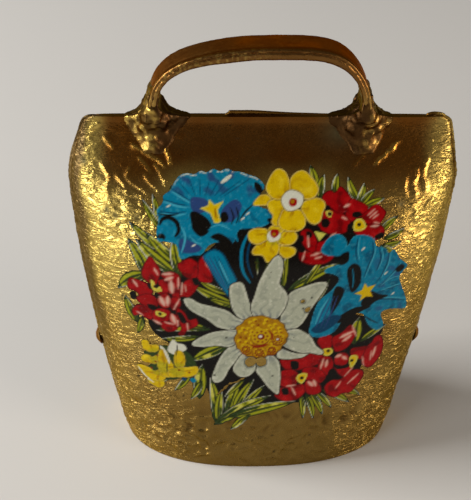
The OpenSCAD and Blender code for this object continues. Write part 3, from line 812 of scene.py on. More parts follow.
class Print:
    """Ink laid on a grid of points (x, rise) in layers, the later ones on top."""

    def __init__(self, x, rise):
        self.x, self.rise = x, rise
        self.ink = np.zeros(x.shape + (3,)) + BLACK
        self.cover = np.zeros(x.shape)
        self.fleck = noise(np.stack([x, rise, 0 * x], axis=-1) / 0.9, 201)
        self.brush = noise(np.stack([x, rise, 0 * x], axis=-1) / 2.4, 202)

    def near(self, points, reach):
        low, high = np.min(points, axis=0) - reach, np.max(points, axis=0) + reach
        near = (self.x > low[0]) & (self.x < high[0]) & (self.rise > low[1]) & (self.rise < high[1])
        return np.nonzero(near)

    def lay(self, at, mask, colour, covers=True):
        mask = np.clip(mask, 0, 1)
        self.ink[at] = mix(self.ink[at], colour, mask[:, None])
        if covers:
            self.cover[at] = np.maximum(self.cover[at], mask)

    def shape(self, points, colour, edge=0.0, steps=4, covers=True, rim=None):
        """A filled outline. rim is a colour and a width for a line inside its edge."""
        curve = rounded(points, steps) if steps > 1 else np.array(points, float)
        at = self.near(curve, 1.0 + edge)
        d = outline_distance(self.x[at], self.rise[at], curve) - edge
        self.lay(at, inked(d), colour, covers)
        if rim is not None:
            self.lay(at, inked(np.abs(d + rim[1] / 2)) + rim[1] / (2 * INK_EDGE), rim[0], covers)
        return at, d

    def line(self, points, width, colour):
        """A stroke that tapers to both ends."""
        curve = rounded(points, 4, closed=False) if len(points) > 2 else np.array(points, float)
        at = self.near(curve, 1.0)
        d, along = line_distance(self.x[at], self.rise[at], curve)
        half = width / 2 * np.sqrt(np.clip(4 * along * (1 - along), 0, 1))
        self.lay(at, inked(d - half), colour, False)

    def dot(self, cx, cy, r, colour, covers=True):
        at = self.near([(cx, cy)], r + 0.5)
        d = np.hypot(self.x[at] - cx, self.rise[at] - cy) * (1 + 0.15 * self.brush[at]) - r
        self.lay(at, inked(d), colour, covers)


def leaf_sides(tip, base, width, bow):
    """Outline of a leaf from its base to its tip, bowed sideways."""
    tip, base = np.array(tip, float), np.array(base, float)
    along = tip - base
    side = np.array([-along[1], along[0]]) / np.hypot(*along)
    t = np.linspace(0, 1, 9)
    half = width / 2 * np.sin(math.pi * t ** 0.85) ** 0.8
    middle = base + np.outer(t, along) + np.outer(4 * t * (1 - t) * bow, side)
    left, right = middle + half[:, None] * side, middle - half[:, None] * side
    return middle, np.vstack([left, right[-2:0:-1]]), left, right


def print_leaf(p, tip, base, width, bow, light, pale):
    """A leaf with a dark underside, a lit blade, a black midrib and a pale edge."""
    middle, outline, left, right = leaf_sides(tip, base, width, bow)
    lit, shade = (left, right) if light > 0 else (right, left)
    p.shape(outline, LEAF_DEEP, edge=0.12, steps=1, rim=(BLACK, 0.22))
    blade = np.vstack([lit[1:-1] * 0.85 + middle[1:-1] * 0.15, middle[-2:0:-1]])
    at, d = p.shape(blade, LEAF, edge=-0.04, steps=1, covers=False)
    p.lay(at, inked(d) * smooth(p.brush[at] * 2), LEAF_PALE, False)
    p.lay(at, 0.7 * inked(d) * smooth(-p.brush[at] * 2 - 0.2), LEAF_DEEP, False)
    p.line(mix(middle[1:-1], shade[1:-1], 0.6), 0.26 * width, LEAF)
    p.line(mix(middle[:5], lit[:5], 0.5), 0.3 * width, LEAF_DEEP)
    p.line(middle[:-1], 0.22, BLACK)
    if pale:
        p.line(mix(lit[2:], middle[2:], 0.12), 0.22 * pale, WHITE)


LEAVES = [
    # tip, base, width, bow, lit side, pale edge
    ((-32.9, 73.8), (-22.5, 66.5), 2.6, 0.8, 1, 0.2),
    ((-27.3, 81.8), (-25.2, 71), 1.7, -0.3, 1, 0.8),
    ((-22.6, 84), (-22.4, 75), 2.0, 0.2, -1, 0.3),
    ((-29.6, 80.2), (-24.6, 72), 1.6, 0.3, -1, 0.8),
    ((-33.4, 69.2), (-28.6, 59), 3.4, -0.8, 1, 0.3),
    ((-31.4, 69.4), (-21, 61), 3.2, 0.6, 1, 1.0),
    ((-29, 71.6), (-20, 63.5), 2.6, 0.4, -1, 0.2),
    ((-22.4, 70.4), (-20.6, 60.5), 2.8, 0.2, 1, 1.0),
    ((-36.2, 54.2), (-28.5, 60.5), 3.4, -1.0, 1, 0.4),
    ((-34.5, 52.4), (-31.5, 44.5), 2.6, 0.3, -1, 0.4),
    ((-31.8, 41.2), (-30.4, 46.8), 1.6, 0.2, 1, 0.0),
    ((-17.8, 58.6), (-7.5, 53.4), 2.4, 0.5, 1, 0.1),
    ((-16.4, 60.4), (-8.4, 56.4), 1.8, 0.5, -1, 0.1),
    ((-14.2, 55), (-6, 52.4), 1.5, 0.2, 1, 0.0),
    ((-27, 43.4), (-13.5, 45.4), 3.0, -1.2, 1, 0.2),
    ((-25.6, 41), (-16, 42.8), 1.8, 0.2, -1, 0.5),
    ((-18.2, 35.2), (-9, 40.6), 3.4, -0.2, 1, 0.2),
    ((-15.4, 34.2), (-16.2, 23), 3.4, 0.3, 1, 0.2),
    ((-27.2, 26.4), (-22.8, 31), 1.8, 0.2, 1, 0.1),
    ((-22.6, 24.8), (-18.6, 31), 1.7, 0.3, -1, 0.9),
    ((-18.4, 22.6), (-15.6, 28.8), 1.8, 0.2, 1, 0.5),
    ((-24.2, 29), (-20.4, 32), 1.6, 0.0, 1, 0.2),
    ((-13.4, 30), (-12, 15.6), 2.6, -0.6, 1, 0.7),
    ((-10.5, 26.5), (-11.2, 15), 2.2, 0.3, -1, 0.4),
    ((-5.8, 29.2), (-9.2, 17), 2.6, 0.5, 1, 0.2),
    ((-2.2, 30), (-7.4, 18.5), 2.4, 0.6, -1, 0.1),
    ((0.6, 28), (-5.6, 19.5), 2.0, 0.4, 1, 0.1),
    ((2.2, 24.6), (-12.4, 14.6), 3.4, 0.9, 1, 0.3),
    ((8.8, 22.4), (-8.6, 17.6), 3.2, 0.4, 1, 0.5),
    ((-8, 13.4), (-3, 18.6), 1.8, -0.2, 1, 0.6),
    ((11, 16.6), (10.2, 24.5), 1.6, 0.3, 1, 0.2),
    ((13.8, 16), (11.6, 24.6), 1.6, 0.4, -1, 0.5),
    ((16.2, 17.2), (12.6, 25), 1.7, 0.5, 1, 0.3),
    ((18.6, 19), (13.8, 25.4), 1.5, 0.4, 1, 0.2),
    ((23.4, 19.8), (15.8, 25.6), 1.9, 0.5, -1, 0.5),
    ((26.2, 21.6), (20.4, 25.4), 1.6, 0.3, 1, 0.3),
    ((10.8, 88.8), (12, 82.4), 2.2, -0.3, 1, 0.2),
    ((14.2, 86.6), (13, 80.6), 2.0, 0.3, -1, 0.9),
    ((17.4, 86.8), (16.8, 81.4), 1.8, 0.2, 1, 0.9),
    ((20, 86), (23, 79.4), 2.0, 0.6, 1, 0.2),
    ((23.9, 84.4), (22, 78.8), 1.7, -0.3, 1, 0.9),
    ((26.4, 82.8), (22.8, 78.6), 1.6, 0.2, 1, 0.6),
    ((28.8, 80.4), (23.2, 77.8), 1.9, 0.2, -1, 0.9),
    ((32.2, 75.2), (27.8, 71.4), 1.8, 0.2, 1, 0.4),
    ((34, 71.4), (29, 69.4), 1.7, -0.3, 1, 0.9),
    ((33.6, 68), (28.4, 67.6), 1.6, -0.2, -1, 0.5),
    ((31.6, 65.8), (27.6, 67.4), 1.5, 0.2, 1, 0.3),
    ((18.4, 64.4), (5.6, 57.4), 2.6, 0.7, 1, 0.1),
    ((14.6, 66.8), (9.4, 58.4), 1.4, 0.3, 1, 0.1),
    ((15.6, 60.2), (9.4, 51.6), 2.4, -0.7, -1, 0.2),
    ((24.2, 47.4), (23.6, 39), 3.4, 0.4, 1, 0.1),
    ((31.6, 43.2), (25, 39.6), 2.0, 0.3, -1, 0.1),
    ((12.4, 43.8), (9.2, 42), 1.6, 0.0, 1, 0.2),
    ((-3.6, 58.6), (-2.2, 66.4), 1.5, 0.2, 1, 0.1),
    ((1.4, 66.6), (-0.4, 60), 1.2, 0.2, 1, 0.0),
    ((5.2, 67.4), (4.4, 57.8), 1.6, 0.3, 1, 0.2),
    ((-9.6, 24.2), (-4.6, 30.2), 1.4, 0.0, -1, 0.8),
]

# black ground between the flowers
GROUND = [(-26, 62), (-21, 67), (-14, 68), (-8, 75), (-2, 75), (4, 77), (10, 80), (16, 82), (20, 79),
          (24, 73), (20, 69), (21, 62), (18, 54), (24, 48), (29, 47), (31, 42), (28, 36), (24, 28),
          (18, 24), (12, 22), (3, 22), (-6, 18), (-11.6, 17), (-13.4, 24), (-16, 31), (-19, 37),
          (-27, 42), (-29, 47), (-27, 54)]

RED_PETALS = [
    # left cluster
    [(-28, 65.4), (-26.8, 64.2), (-25.6, 61.9), (-26.1, 59.3), (-26.8, 57.6), (-28, 57.7),
     (-29.3, 58.6), (-30.2, 60), (-29.7, 62.3), (-28.8, 64.3)],
    [(-33.9, 56), (-33.2, 58.2), (-31.9, 58.3), (-30, 57.9), (-28.4, 57), (-27.6, 55.2), (-29, 53.4),
     (-30.5, 53), (-31.7, 54.6), (-33.2, 54.8)],
    [(-32.9, 48.2), (-31.7, 50.3), (-29.3, 50.4), (-27.5, 49.6), (-27.5, 48), (-28.3, 46.5),
     (-30, 46.9), (-31, 47.6), (-32.5, 46.7)],
    [(-31.6, 52.8), (-29, 54.4), (-27.2, 53.9), (-26.4, 51.9), (-27.4, 49.7), (-29.3, 50.4),
     (-31, 51.2)],
    [(-26.2, 58.8), (-24.4, 59.4), (-23.5, 57), (-24.4, 54.6), (-25.7, 53.6), (-26.7, 54.4),
     (-25.6, 56.5)],
    [(-25.4, 60.6), (-24.2, 61.5), (-22.7, 61.9), (-21, 61), (-20.9, 58.2), (-22, 56),
     (-23.6, 55.6), (-23.6, 58.8), (-24.7, 59.8)],
    [(-22.6, 56.4), (-21, 57.4), (-20, 55.6), (-21.2, 53.6), (-22.6, 54.2)],
    [(-26.2, 54.2), (-24.3, 55.4), (-23.1, 53.7), (-23.5, 51.3), (-25, 50.8), (-26.4, 52.1)],
    [(-22.6, 54.5), (-21, 53.9), (-20.9, 51.8), (-22.6, 50.4), (-23.4, 52.4)],
    [(-27.8, 49.1), (-25.8, 50.5), (-23.4, 50), (-23.6, 47.4), (-25.6, 45.8), (-27.6, 46.6)],
    [(-25.8, 46.2), (-24, 46.6), (-22.1, 46), (-21.7, 44.6), (-23.9, 43.5), (-25.4, 44.4)],
    [(-23.4, 49.2), (-21.8, 48.8), (-21.1, 46.7), (-21.6, 45.3), (-22.9, 46.2), (-23.7, 47.5)],
    [(-21.6, 51.2), (-19.8, 49.9), (-18.8, 47.8), (-17, 48.4), (-16.6, 46.4), (-18.4, 45.1),
     (-19.4, 44.4), (-20.2, 42.9), (-21.4, 43.1), (-20.6, 45.1), (-21.6, 48)],
    [(-21.3, 63.9), (-20, 65.1), (-18.3, 65.8), (-16.8, 65), (-15.9, 63.8), (-16.4, 61.2),
     (-18.4, 60.4), (-20.3, 61.8)],
    [(-16.2, 65.2), (-15.2, 66.6), (-14.2, 65.4), (-13.3, 62.6), (-13, 60.1), (-14.4, 59.5),
     (-16.4, 60.2), (-16.4, 62.6)],
    [(-19.9, 59.1), (-18.3, 60.4), (-16.5, 59.5), (-16.8, 57.5), (-18.3, 55.3), (-19.8, 54.3),
     (-20.9, 54.9), (-20.6, 57)],
    # upper right cluster
    [(12.6, 76), (13.1, 77.3), (14.6, 78.2), (16.5, 77.6), (18.5, 76.9), (20.4, 75), (19.9, 72.6),
     (18, 71.9), (15.5, 72), (13.6, 72.8), (12.5, 74.2)],
    [(13.8, 81.4), (14.8, 82.4), (15.8, 82.6), (16.8, 82.1), (18, 83.6), (19.2, 82.6), (20.7, 80.6),
     (20.9, 79.2), (19.4, 77.4), (17.5, 77), (16, 78.3), (14.8, 79.1), (13.7, 80.2)],
    [(20.6, 80.5), (22.8, 79.7), (24.3, 78.9), (24.9, 77.6), (23.3, 76), (21.9, 75.5), (20.7, 74.9),
     (19.4, 76.3), (19.5, 77.9)],
    [(24.6, 77.3), (26, 78.6), (27.2, 78.8), (28.6, 77.5), (29.2, 76.4), (28.4, 74.6),
     (27.5, 73.5), (25.7, 73.5), (24, 74.4), (23.3, 76.1)],
    [(23.8, 73.4), (26.7, 73.8), (28.6, 72.6), (29, 71.2), (28, 69.9), (26.3, 69.4), (24.3, 69.9),
     (22.3, 71.2), (21.4, 72.6)],
    [(8.3, 68.4), (10.2, 67.8), (13.4, 67.4), (15.9, 67.4), (16.4, 66), (14.6, 64.7), (12.1, 64.4),
     (9.7, 64.9), (8.1, 66.2)],
    [(8.4, 72.7), (10, 73.3), (11.5, 72.2), (12.3, 70.2), (12.7, 68.5), (11.2, 67.6), (9.6, 68.7),
     (8.6, 70.5)],
    [(12.4, 69.8), (14.1, 70.3), (15.9, 71.5), (15.5, 69.4), (13.6, 67.9), (12.1, 67.4)],
    # lower right cluster
    [(22.8, 37.6), (24.9, 37.7), (27, 37.4), (28, 35.4), (26.4, 33.6), (24.2, 34.4), (22.9, 35.6)],
    [(27, 37.3), (28.3, 38.5), (29, 39.9), (30.4, 40.1), (31.4, 37.6), (31.3, 34.4), (30.1, 31.8),
     (28.2, 30.2), (26.3, 31.8), (26, 34)],
    [(13.8, 41.6), (15.6, 44.1), (16.4, 43.3), (17.7, 42), (17.3, 38.8), (15.8, 38.3),
     (14.4, 39.8)],
    [(17.5, 42), (20.1, 43.4), (22, 45.4), (23.3, 43.7), (23.6, 42), (22.3, 39.1), (20.5, 37.7),
     (18.6, 37.6), (17.8, 39.8)],
    [(18.5, 35), (19.8, 36.8), (21.4, 36.5), (22.4, 34.6), (21.3, 32.3), (19.3, 32.6)],
    [(18.6, 32.4), (20.8, 31.8), (22.8, 32.4), (23.6, 30.3), (21.8, 28.8), (20, 30)],
    [(16.4, 26.6), (18.3, 28.3), (20.4, 28.1), (22, 29.4), (24, 30.6), (26.3, 29.8), (26.7, 27.8),
     (25.2, 25.3), (23.6, 23.3), (21.4, 23.4), (19.3, 22.6), (17.2, 23.9)],
    [(4.4, 36), (6.8, 36), (9.2, 36.8), (11.3, 38.4), (13.3, 37.7), (15.4, 36.8), (15, 34.6),
     (13, 33.6), (10.4, 32.8), (8.3, 32.7), (5.7, 33.2)],
    [(15.3, 36.3), (17.4, 35.9), (18.4, 33.3), (17.4, 30.8), (15.8, 30), (14.3, 32.3), (14.6, 34.8)],
    [(5, 32.5), (7.3, 33), (9, 31.7), (9.3, 29.4), (8, 27.1), (5.4, 27.4), (3.8, 29), (4.2, 31.2)],
    [(10.3, 32.9), (13, 33.3), (15.2, 32.1), (16.5, 29.9), (15.2, 27.9), (12.7, 28.7),
     (11, 29.6)],
    [(3.9, 27), (6, 27), (8.5, 27.5), (10.6, 28), (11.3, 25.5), (9.6, 23.4), (7.2, 22.6),
     (5.1, 23), (3.4, 24.6)],
    [(11.2, 28.6), (13, 29), (15, 27.4), (15.4, 25), (13.6, 24.2), (11.6, 25.2)],
]

PALE_STROKES = [
    # from, to, width
    ((-25, 61), (-22.6, 61.4), 0.9), ((-24.4, 59.4), (-22.6, 60.4), 1.1),
    ((-23, 59.2), (-22.8, 55.8), 1.5), ((-21.2, 60.4), (-21.3, 57.2), 0.5),
    ((-25.8, 54), (-24.8, 51.6), 1.5), ((-23.9, 54.4), (-24, 51.8), 1.3),
    ((-21, 54), (-22.4, 50.8), 0.5), ((-22.9, 49), (-22.2, 46.4), 1.5),
    ((-21.5, 47.4), (-21.6, 45.6), 0.5), ((-24.8, 46.4), (-22.6, 46), 0.5),
    ((-27.6, 46.4), (-25.8, 45.6), 0.8), ((-31.8, 48.2), (-30.2, 47.3), 0.5),
    ((-27, 62.4), (-26.2, 60.6), 0.6), ((-32.4, 57.8), (-31.4, 56.2), 0.8),
    ((-20.3, 59), (-20.5, 55.6), 0.5), ((-19.6, 58.4), (-19.4, 56.6), 0.4),
    ((-14.4, 65.6), (-13.6, 63.6), 1.0), ((-19.2, 46.8), (-19, 44.6), 0.4),
    ((19, 78.6), (20.3, 79.2), 0.7), ((18.4, 76), (19.6, 75.4), 0.5),
    ((24.8, 76.2), (26.4, 77.6), 0.4), ((25.3, 75.6), (27, 77), 0.4),
    ((26, 75.2), (27.3, 76.2), 0.35), ((25.6, 73.2), (27.4, 73.2), 0.6),
    ((26.4, 74.2), (27.6, 73.8), 0.4), ((16.8, 72), (15.6, 71.2), 0.6),
    ((10.1, 71.6), (10.3, 69), 0.5), ((11, 66.8), (13.2, 67.4), 0.6),
    ((12, 66), (13.6, 66.4), 0.5), ((9.4, 67.8), (8.8, 65.6), 0.4),
    ((19.6, 41.8), (22.8, 43.2), 1.1), ((20.4, 40.6), (22.4, 42), 1.0),
    ((18.9, 35.8), (20.2, 36.2), 1.1), ((20.6, 35.6), (21.7, 34.6), 1.0),
    ((28.4, 35.6), (28.2, 32.8), 0.5), ((29.4, 36.6), (28.8, 33.6), 0.8),
    ((26, 34.4), (26.6, 31.2), 0.4), ((15.6, 35.6), (15, 32.4), 0.6),
    ((16.6, 35), (16.4, 33), 0.9), ((12, 28.6), (13.2, 27.2), 1.1), ((13.4, 29), (14, 27), 0.9),
    ((21.6, 29), (23.6, 31.4), 0.4), ((22.6, 26.4), (25.4, 29), 0.5), ((19.4, 25.4), (20.6, 27.4), 0.4),
    ((7.6, 27.2), (8.8, 24.6), 0.5), ((6.4, 27.5), (8.6, 27.8), 0.5), ((22.6, 45), (23.8, 41.6), 0.5),
]

DARKS = [
    # outlines of the black gaps between petals
    [(-28.8, 57.4), (-27.8, 57.6), (-27.5, 56.6), (-28.3, 56)],
    [(-27, 55), (-25.9, 54.8), (-25.9, 53.8), (-26.9, 53.7)],
    [(-29, 51), (-27.4, 51.2), (-26.6, 50.4), (-28, 49.6)],
    [(-33.2, 53.6), (-32.2, 54), (-31.8, 52.6), (-32.6, 51.9)],
    [(-17.8, 60.4), (-16.6, 60.6), (-16.2, 59.4), (-17, 58.6)],
    [(-20.8, 54.6), (-19.4, 54.8), (-18.8, 53.8), (-20.4, 53.4)],
    [(-21.6, 49.6), (-20.6, 49.8), (-19.4, 47.4), (-20.4, 46.8)],
    [(13.6, 75.4), (14.8, 75.7), (15.4, 74.7), (14.6, 73.6), (13.5, 74.1)],
    [(14, 78.6), (15.2, 79), (15.4, 78), (14.4, 77.6)],
    [(11.2, 74.4), (12.8, 73.9), (13, 72.8), (12.2, 72.6), (10.6, 73.8)],
    [(21.2, 77), (22.8, 77.1), (23.2, 76.3), (22, 75.8), (21.1, 76.1)],
    [(19.9, 74), (20.8, 74.2), (21.2, 72.6), (20.6, 71.8), (19.7, 72.4)],
    [(26.8, 70.6), (28.4, 71.2), (28.9, 70.4), (28.2, 69.7), (26.8, 69.9)],
    [(9.8, 72.6), (11, 72.4), (10.9, 71.4), (10, 71.3)], [(8, 71.8), (9, 71.6), (8.9, 70.4), (8, 70.4)],
    [(8, 69.2), (9.2, 69), (9.2, 67.8), (8.2, 67.8)],
    [(17.4, 31.6), (18.8, 31.8), (19.6, 30), (18.6, 28.6), (17.2, 29.4)],
    [(7.2, 35.4), (9, 35.2), (9.1, 33.2), (7.6, 33)],
    [(18.4, 33.4), (20.4, 32.6), (22.4, 32.8), (22.2, 31.8), (19.4, 31.8)],
    [(5.2, 26.6), (6.6, 26.8), (6.9, 25), (5.6, 24.9)],
]

RED_EYES = [
    # outline of a pale eye with its dark middle
    ([(-28, 58.8), (-27.2, 58.2), (-26.6, 56.4), (-25.8, 57.2), (-25.4, 55.8), (-27, 55.6), (-27.8, 56.6)],
     (-26.9, 57)),
    ([(-27, 49.4), (-25.6, 49.4), (-24.4, 48.8), (-25.2, 48), (-26.8, 48.2)], (-25.9, 48.7)),
    ([(21.3, 72.6), (21.5, 74.9), (23.3, 75.3), (24.4, 73.2), (23.1, 72.3)], (22.6, 73.9)),
    ([(8.8, 29.8), (9.5, 31.3), (11.3, 31.4), (11.5, 30.3), (10.3, 28.1)], (10.2, 30)),
    ([(15.4, 38.6), (17.3, 38.8), (17.9, 37.4), (16.6, 36.4), (15.3, 37.2)], (16.7, 38)),
    ([(22.8, 35.4), (24.6, 35), (24.4, 33), (23.2, 31.4), (22.6, 33.4)], (23.2, 33.8)),
    ([(14.5, 77.6), (15.9, 77.5), (15.7, 76.2), (14.8, 76.4)], (15.4, 76.9)),
]


def print_red_petal(p, outline):
    at, d = p.shape(outline, RED_DEEP, edge=0.14, steps=3)
    inside = np.clip(0.5 - (d + 0.24) / 0.3, 0, 1)
    p.lay(at, inside, RED, False)
    p.lay(at, 0.7 * inside * smooth(p.brush[at] * 2.2 - 0.2), RED_DEEP, False)
    p.lay(at, 0.5 * inside * smooth(-p.brush[at] * 2 - 0.3), RED_LIT, False)


def print_greens_and_small_flowers(p):
    p.shape(GROUND, BLACK, steps=4)
    for tip, base, width, bow, light, pale in LEAVES:
        print_leaf(p, tip, base, width, bow, light, pale)
    for outline in RED_PETALS:
        print_red_petal(p, outline)
    for outline in DARKS:
        p.shape(outline, BLACK, edge=0.1, steps=3)
    for start, end, width in PALE_STROKES:
        at = p.near([start, end], 1.2)
        d, along = line_distance(p.x[at], p.rise[at], [start, end])
        half = width / 2 * np.sqrt(np.clip(4.2 * along * (1 - along), 0.2, 1)) + 0.12 * p.fleck[at]
        p.lay(at, 0.7 * np.clip(0.5 + (half - d) / 0.5, 0, 1), PINK, False)
        p.lay(at, 0.5 * np.clip(0.3 + (0.5 * half - d) / 0.4, 0, 1), WHITE, False)
    p.shape([(11.6, 72.8), (14.5, 72.1), (12.9, 70.3)], LEAF_PALE, steps=1)
    for outline, middle in RED_EYES:
        p.shape(outline, YELLOW, steps=3, rim=(LEAF_PALE, 0.35))
        p.dot(*middle, 0.5, INK, False)
    p.shape([(-30.4, 35.6), (-26.4, 38.6), (-22, 38.6), (-18.4, 37), (-16.8, 32.4), (-20, 29.6),
             (-26, 27.6), (-30.4, 29.6), (-28.2, 32.8)], LEAF_DEEP)
    for outline in WHITE_PETALS:
        p.shape(outline, WHITE, steps=3)
    for outline, middle in YELLOW_PETALS:
        print_yellow_petal(p, outline, middle, 0.0)
    for x, rise in ((-27.4, 33.2), (-26.9, 35.4), (-28.6, 30.8), (-21.4, 31.6), (-18.8, 31.2)):
        p.dot(x, rise, 0.3, RUST)
    p.line([(-25.4, 38.2), (-24.4, 35.6), (-23.8, 33.2)], 0.7, WHITE)
    p.line([(-32, 30), (-30.4, 27.6), (-28, 26)], 0.6, WHITE)
    p.line([(-22.2, 36), (-21.8, 38.4), (-21.9, 39.8)], 0.35, INK)
    p.line([(-24.6, 33.6), (-24.4, 30.2)], 0.3, LEAF_DEEP)
    p.dot(-17.8, 28.9, 0.8, BLUE)
    p.dot(-20.2, 29, 0.6, BLUE_DEEP)


WHITE_PETALS = [
    [(-26.2, 38.7), (-25.3, 38), (-23.8, 34.8), (-23.3, 32.8), (-24.3, 33.6), (-25.8, 37)],
    [(-24.3, 37.6), (-22.9, 41.2), (-21.8, 40.2), (-20.2, 40), (-19.4, 38.6), (-21, 37.3), (-22.5, 36.4)],
]

YELLOW_PETALS = [
    # outline of a petal of the small cluster with the spot its veins run from
    ([(-30.7, 39), (-29.4, 39.5), (-28.7, 38.4), (-26.9, 38.6), (-26.6, 37.3), (-27.9, 36.3),
      (-30, 36.3), (-30.8, 37.5)], (-27.4, 35.6)),
    ([(-31, 33.8), (-29.7, 34.9), (-28.2, 34.5), (-26.9, 35.2), (-26.4, 33.1), (-28.7, 32.4),
      (-30.7, 32.4)], (-27, 34)),
    ([(-29.5, 26.6), (-26.1, 27.9), (-25.3, 26.3), (-26.4, 24.9), (-28.2, 25.2)], (-26.6, 29)),
    ([(-32.3, 30.2), (-30.2, 30.9), (-27.7, 30), (-25.3, 31.3), (-25.1, 28.2), (-28.3, 26.8),
      (-30.7, 28)], (-26.8, 31)),
    ([(-26.1, 37.2), (-24.7, 37.1), (-24, 34.8), (-22.9, 32.4), (-23.6, 29.1), (-26.1, 29.4),
      (-26.8, 33.3)], (-26, 31.6)),
    ([(-22.2, 37.3), (-20.7, 37.6), (-19.9, 35.3), (-20.4, 33), (-22.4, 33)], (-21.4, 32)),
    ([(-24, 31), (-21.5, 32.4), (-19.4, 32.7), (-16.8, 33.2), (-16.9, 31.2), (-18.9, 29.9),
      (-22, 29.4), (-23.8, 29.2)], (-22, 31.4)),
]

LOW_PRIMROSE = [
    [(3.1, 69.2), (5.3, 69.2), (7, 68.6), (6.9, 67.3), (5, 66.3), (3.4, 67.3)],
    [(-3.2, 68.4), (-1.5, 70.2), (0.9, 70.9), (2.8, 70.4), (3.1, 68.4), (1.7, 66), (0.2, 65.4),
     (-0.8, 67), (-3, 67.3)],
    [(-4.2, 72.6), (-2.4, 73.6), (0.2, 73.3), (1.2, 71.7), (-0.3, 70.6), (-2, 69.8), (-3.9, 70.6)],
    [(2.9, 72), (4.4, 73.6), (6.5, 73), (7.5, 71.6), (6.7, 70.1), (5, 69.5), (3, 70)],
    [(0.6, 73.4), (2, 74.5), (3.8, 74.3), (4, 72.8), (2.6, 72.2), (0.9, 72.4)],
]

TOP_PRIMROSE = [
    [(-3, 79.4), (-1.5, 81.4), (0.2, 81.7), (1.3, 80.6), (0.6, 79.4), (-1, 79.2)],
    [(4.1, 80.6), (1.9, 80.6), (0.4, 79.7), (0.8, 77.9), (1.7, 76.7), (1.4, 75), (2.7, 74.2),
     (4.1, 76), (4.9, 77.9)],
    [(4.3, 78.1), (3.4, 76.5), (2.9, 74.8), (4.1, 73.2), (6, 72.9), (7.8, 73), (9.2, 74), (9.5, 75.8),
     (8.8, 77.7), (6.5, 78.1)],
    [(9, 79.8), (10.4, 80.5), (12.3, 80.9), (13.9, 80.1), (14.3, 78.9), (13.6, 77.2), (13.1, 75.3),
     (11.8, 74.5), (10.4, 75.1), (9.3, 76.7), (8.6, 78.2)],
    [(5.8, 82.6), (6, 85.5), (7.5, 87.2), (9.3, 87.5), (10.7, 86.3), (12, 84.8), (12.7, 82.8),
     (11.5, 81), (9.4, 80.7), (7.2, 81.6)],
    [(0.1, 83), (0.7, 85.3), (1.8, 87.1), (3, 88), (4.5, 87.5), (5.4, 86), (5.8, 84), (5.6, 82.1),
     (3.8, 80.7), (1.6, 80.9)],
]


def print_yellow_petal(p, outline, middle, rim=0.16):
    """A petal with a pale rim, streaked with amber and olive from its middle."""
    at, d = p.shape(outline, OLIVE_DEEP, edge=0.2, steps=4)
    p.lay(at, inked(d + 0.1), mix(WHITE, YELLOW, 0.75))
    inside = np.clip(0.5 - (d + 0.12 + rim + 0.1 * p.fleck[at]) / 0.3, 0, 1)
    p.lay(at, inside, YELLOW, False)
    dx, dy = p.x[at] - middle[0], p.rise[at] - middle[1]
    far = np.hypot(dx, dy)
    veins = np.sin(7 * np.arctan2(dy, dx) + 3 * p.brush[at]) + 0.5 * p.fleck[at]
    p.lay(at, 0.75 * inside * smooth(veins * 1.5 - 0.5) * smooth((5.4 - far) / 3), AMBER, False)
    p.lay(at, 0.45 * inside * smooth(-p.brush[at] * 2 - 0.3), AMBER, False)
    p.lay(at, 0.5 * inside * smooth(p.brush[at] * 2.4 - 0.6), YELLOW_LIT, False)
    p.lay(at, 0.6 * inside * smooth((2.6 - far) / 1.2), LEAF, False)


def print_primroses(p):
    for petals, middle in ((LOW_PRIMROSE, (1.8, 71.6)), (TOP_PRIMROSE, (6.4, 80.2))):
        for outline in petals:
            print_yellow_petal(p, outline, middle)
    p.shape([(0.2, 71.6), (0.8, 72.9), (2.2, 73.2), (3.4, 72.4), (3.1, 70.9), (1, 70.4)], WHITE, steps=3)
    p.shape([(1, 72.1), (1.3, 73.3), (2.9, 73.3), (3.1, 72.2), (1.9, 71.3)], RED, steps=3)
    p.dot(1.9, 72.2, 0.4, AMBER)
    eye = [(3.7, 80.1), (4.5, 82), (6.4, 82.9), (8.9, 81.6), (8.7, 79.3), (7.2, 78.1), (5, 77.9)]
    p.shape(eye, OLIVE, edge=0.15, steps=3)
    p.shape(eye, WHITE, edge=-0.05, steps=3)
    p.shape([(5.5, 79.9), (6.2, 80.9), (7.5, 80.5), (7.2, 79.1), (6, 78.9)], RED, steps=3)
    p.dot(6.4, 80.1, 0.5, AMBER)


BIG_GENTIAN = [
    (-20.6, 86.4), (-18.8, 87), (-17.2, 86.7), (-15.6, 87.6), (-14.2, 87.2), (-12.6, 88), (-11, 87.5),
    (-9.4, 88.1), (-7.6, 87.4), (-6, 87.3), (-4.3, 86.7), (-1.9, 85.8), (-0.3, 83.8), (-1.4, 81.8),
    (-2.9, 80), (-1.4, 78.8), (0.6, 78), (1.3, 76.2), (-0.2, 74.3), (-4.2, 73.6), (-6.6, 73.2),
    (-8, 70), (-10.6, 70.4), (-13.6, 69.4), (-15.6, 67), (-18, 66.6), (-20.6, 65.6), (-21.6, 69),
    (-24, 69.6), (-26, 69.8), (-26.3, 72.4), (-25.7, 75), (-26.2, 77.4), (-24.8, 79.6), (-24.6, 81.4),
    (-22.8, 82.8), (-22, 84.7),
]
BIG_TUBE = [(-15.2, 66.6), (-12.8, 68.4), (-10.4, 67.4), (-8.6, 64), (-7, 60.6), (-7.6, 58.4),
            (-8.6, 55.4), (-10.6, 58), (-12.6, 61.4), (-14.2, 64.4)]


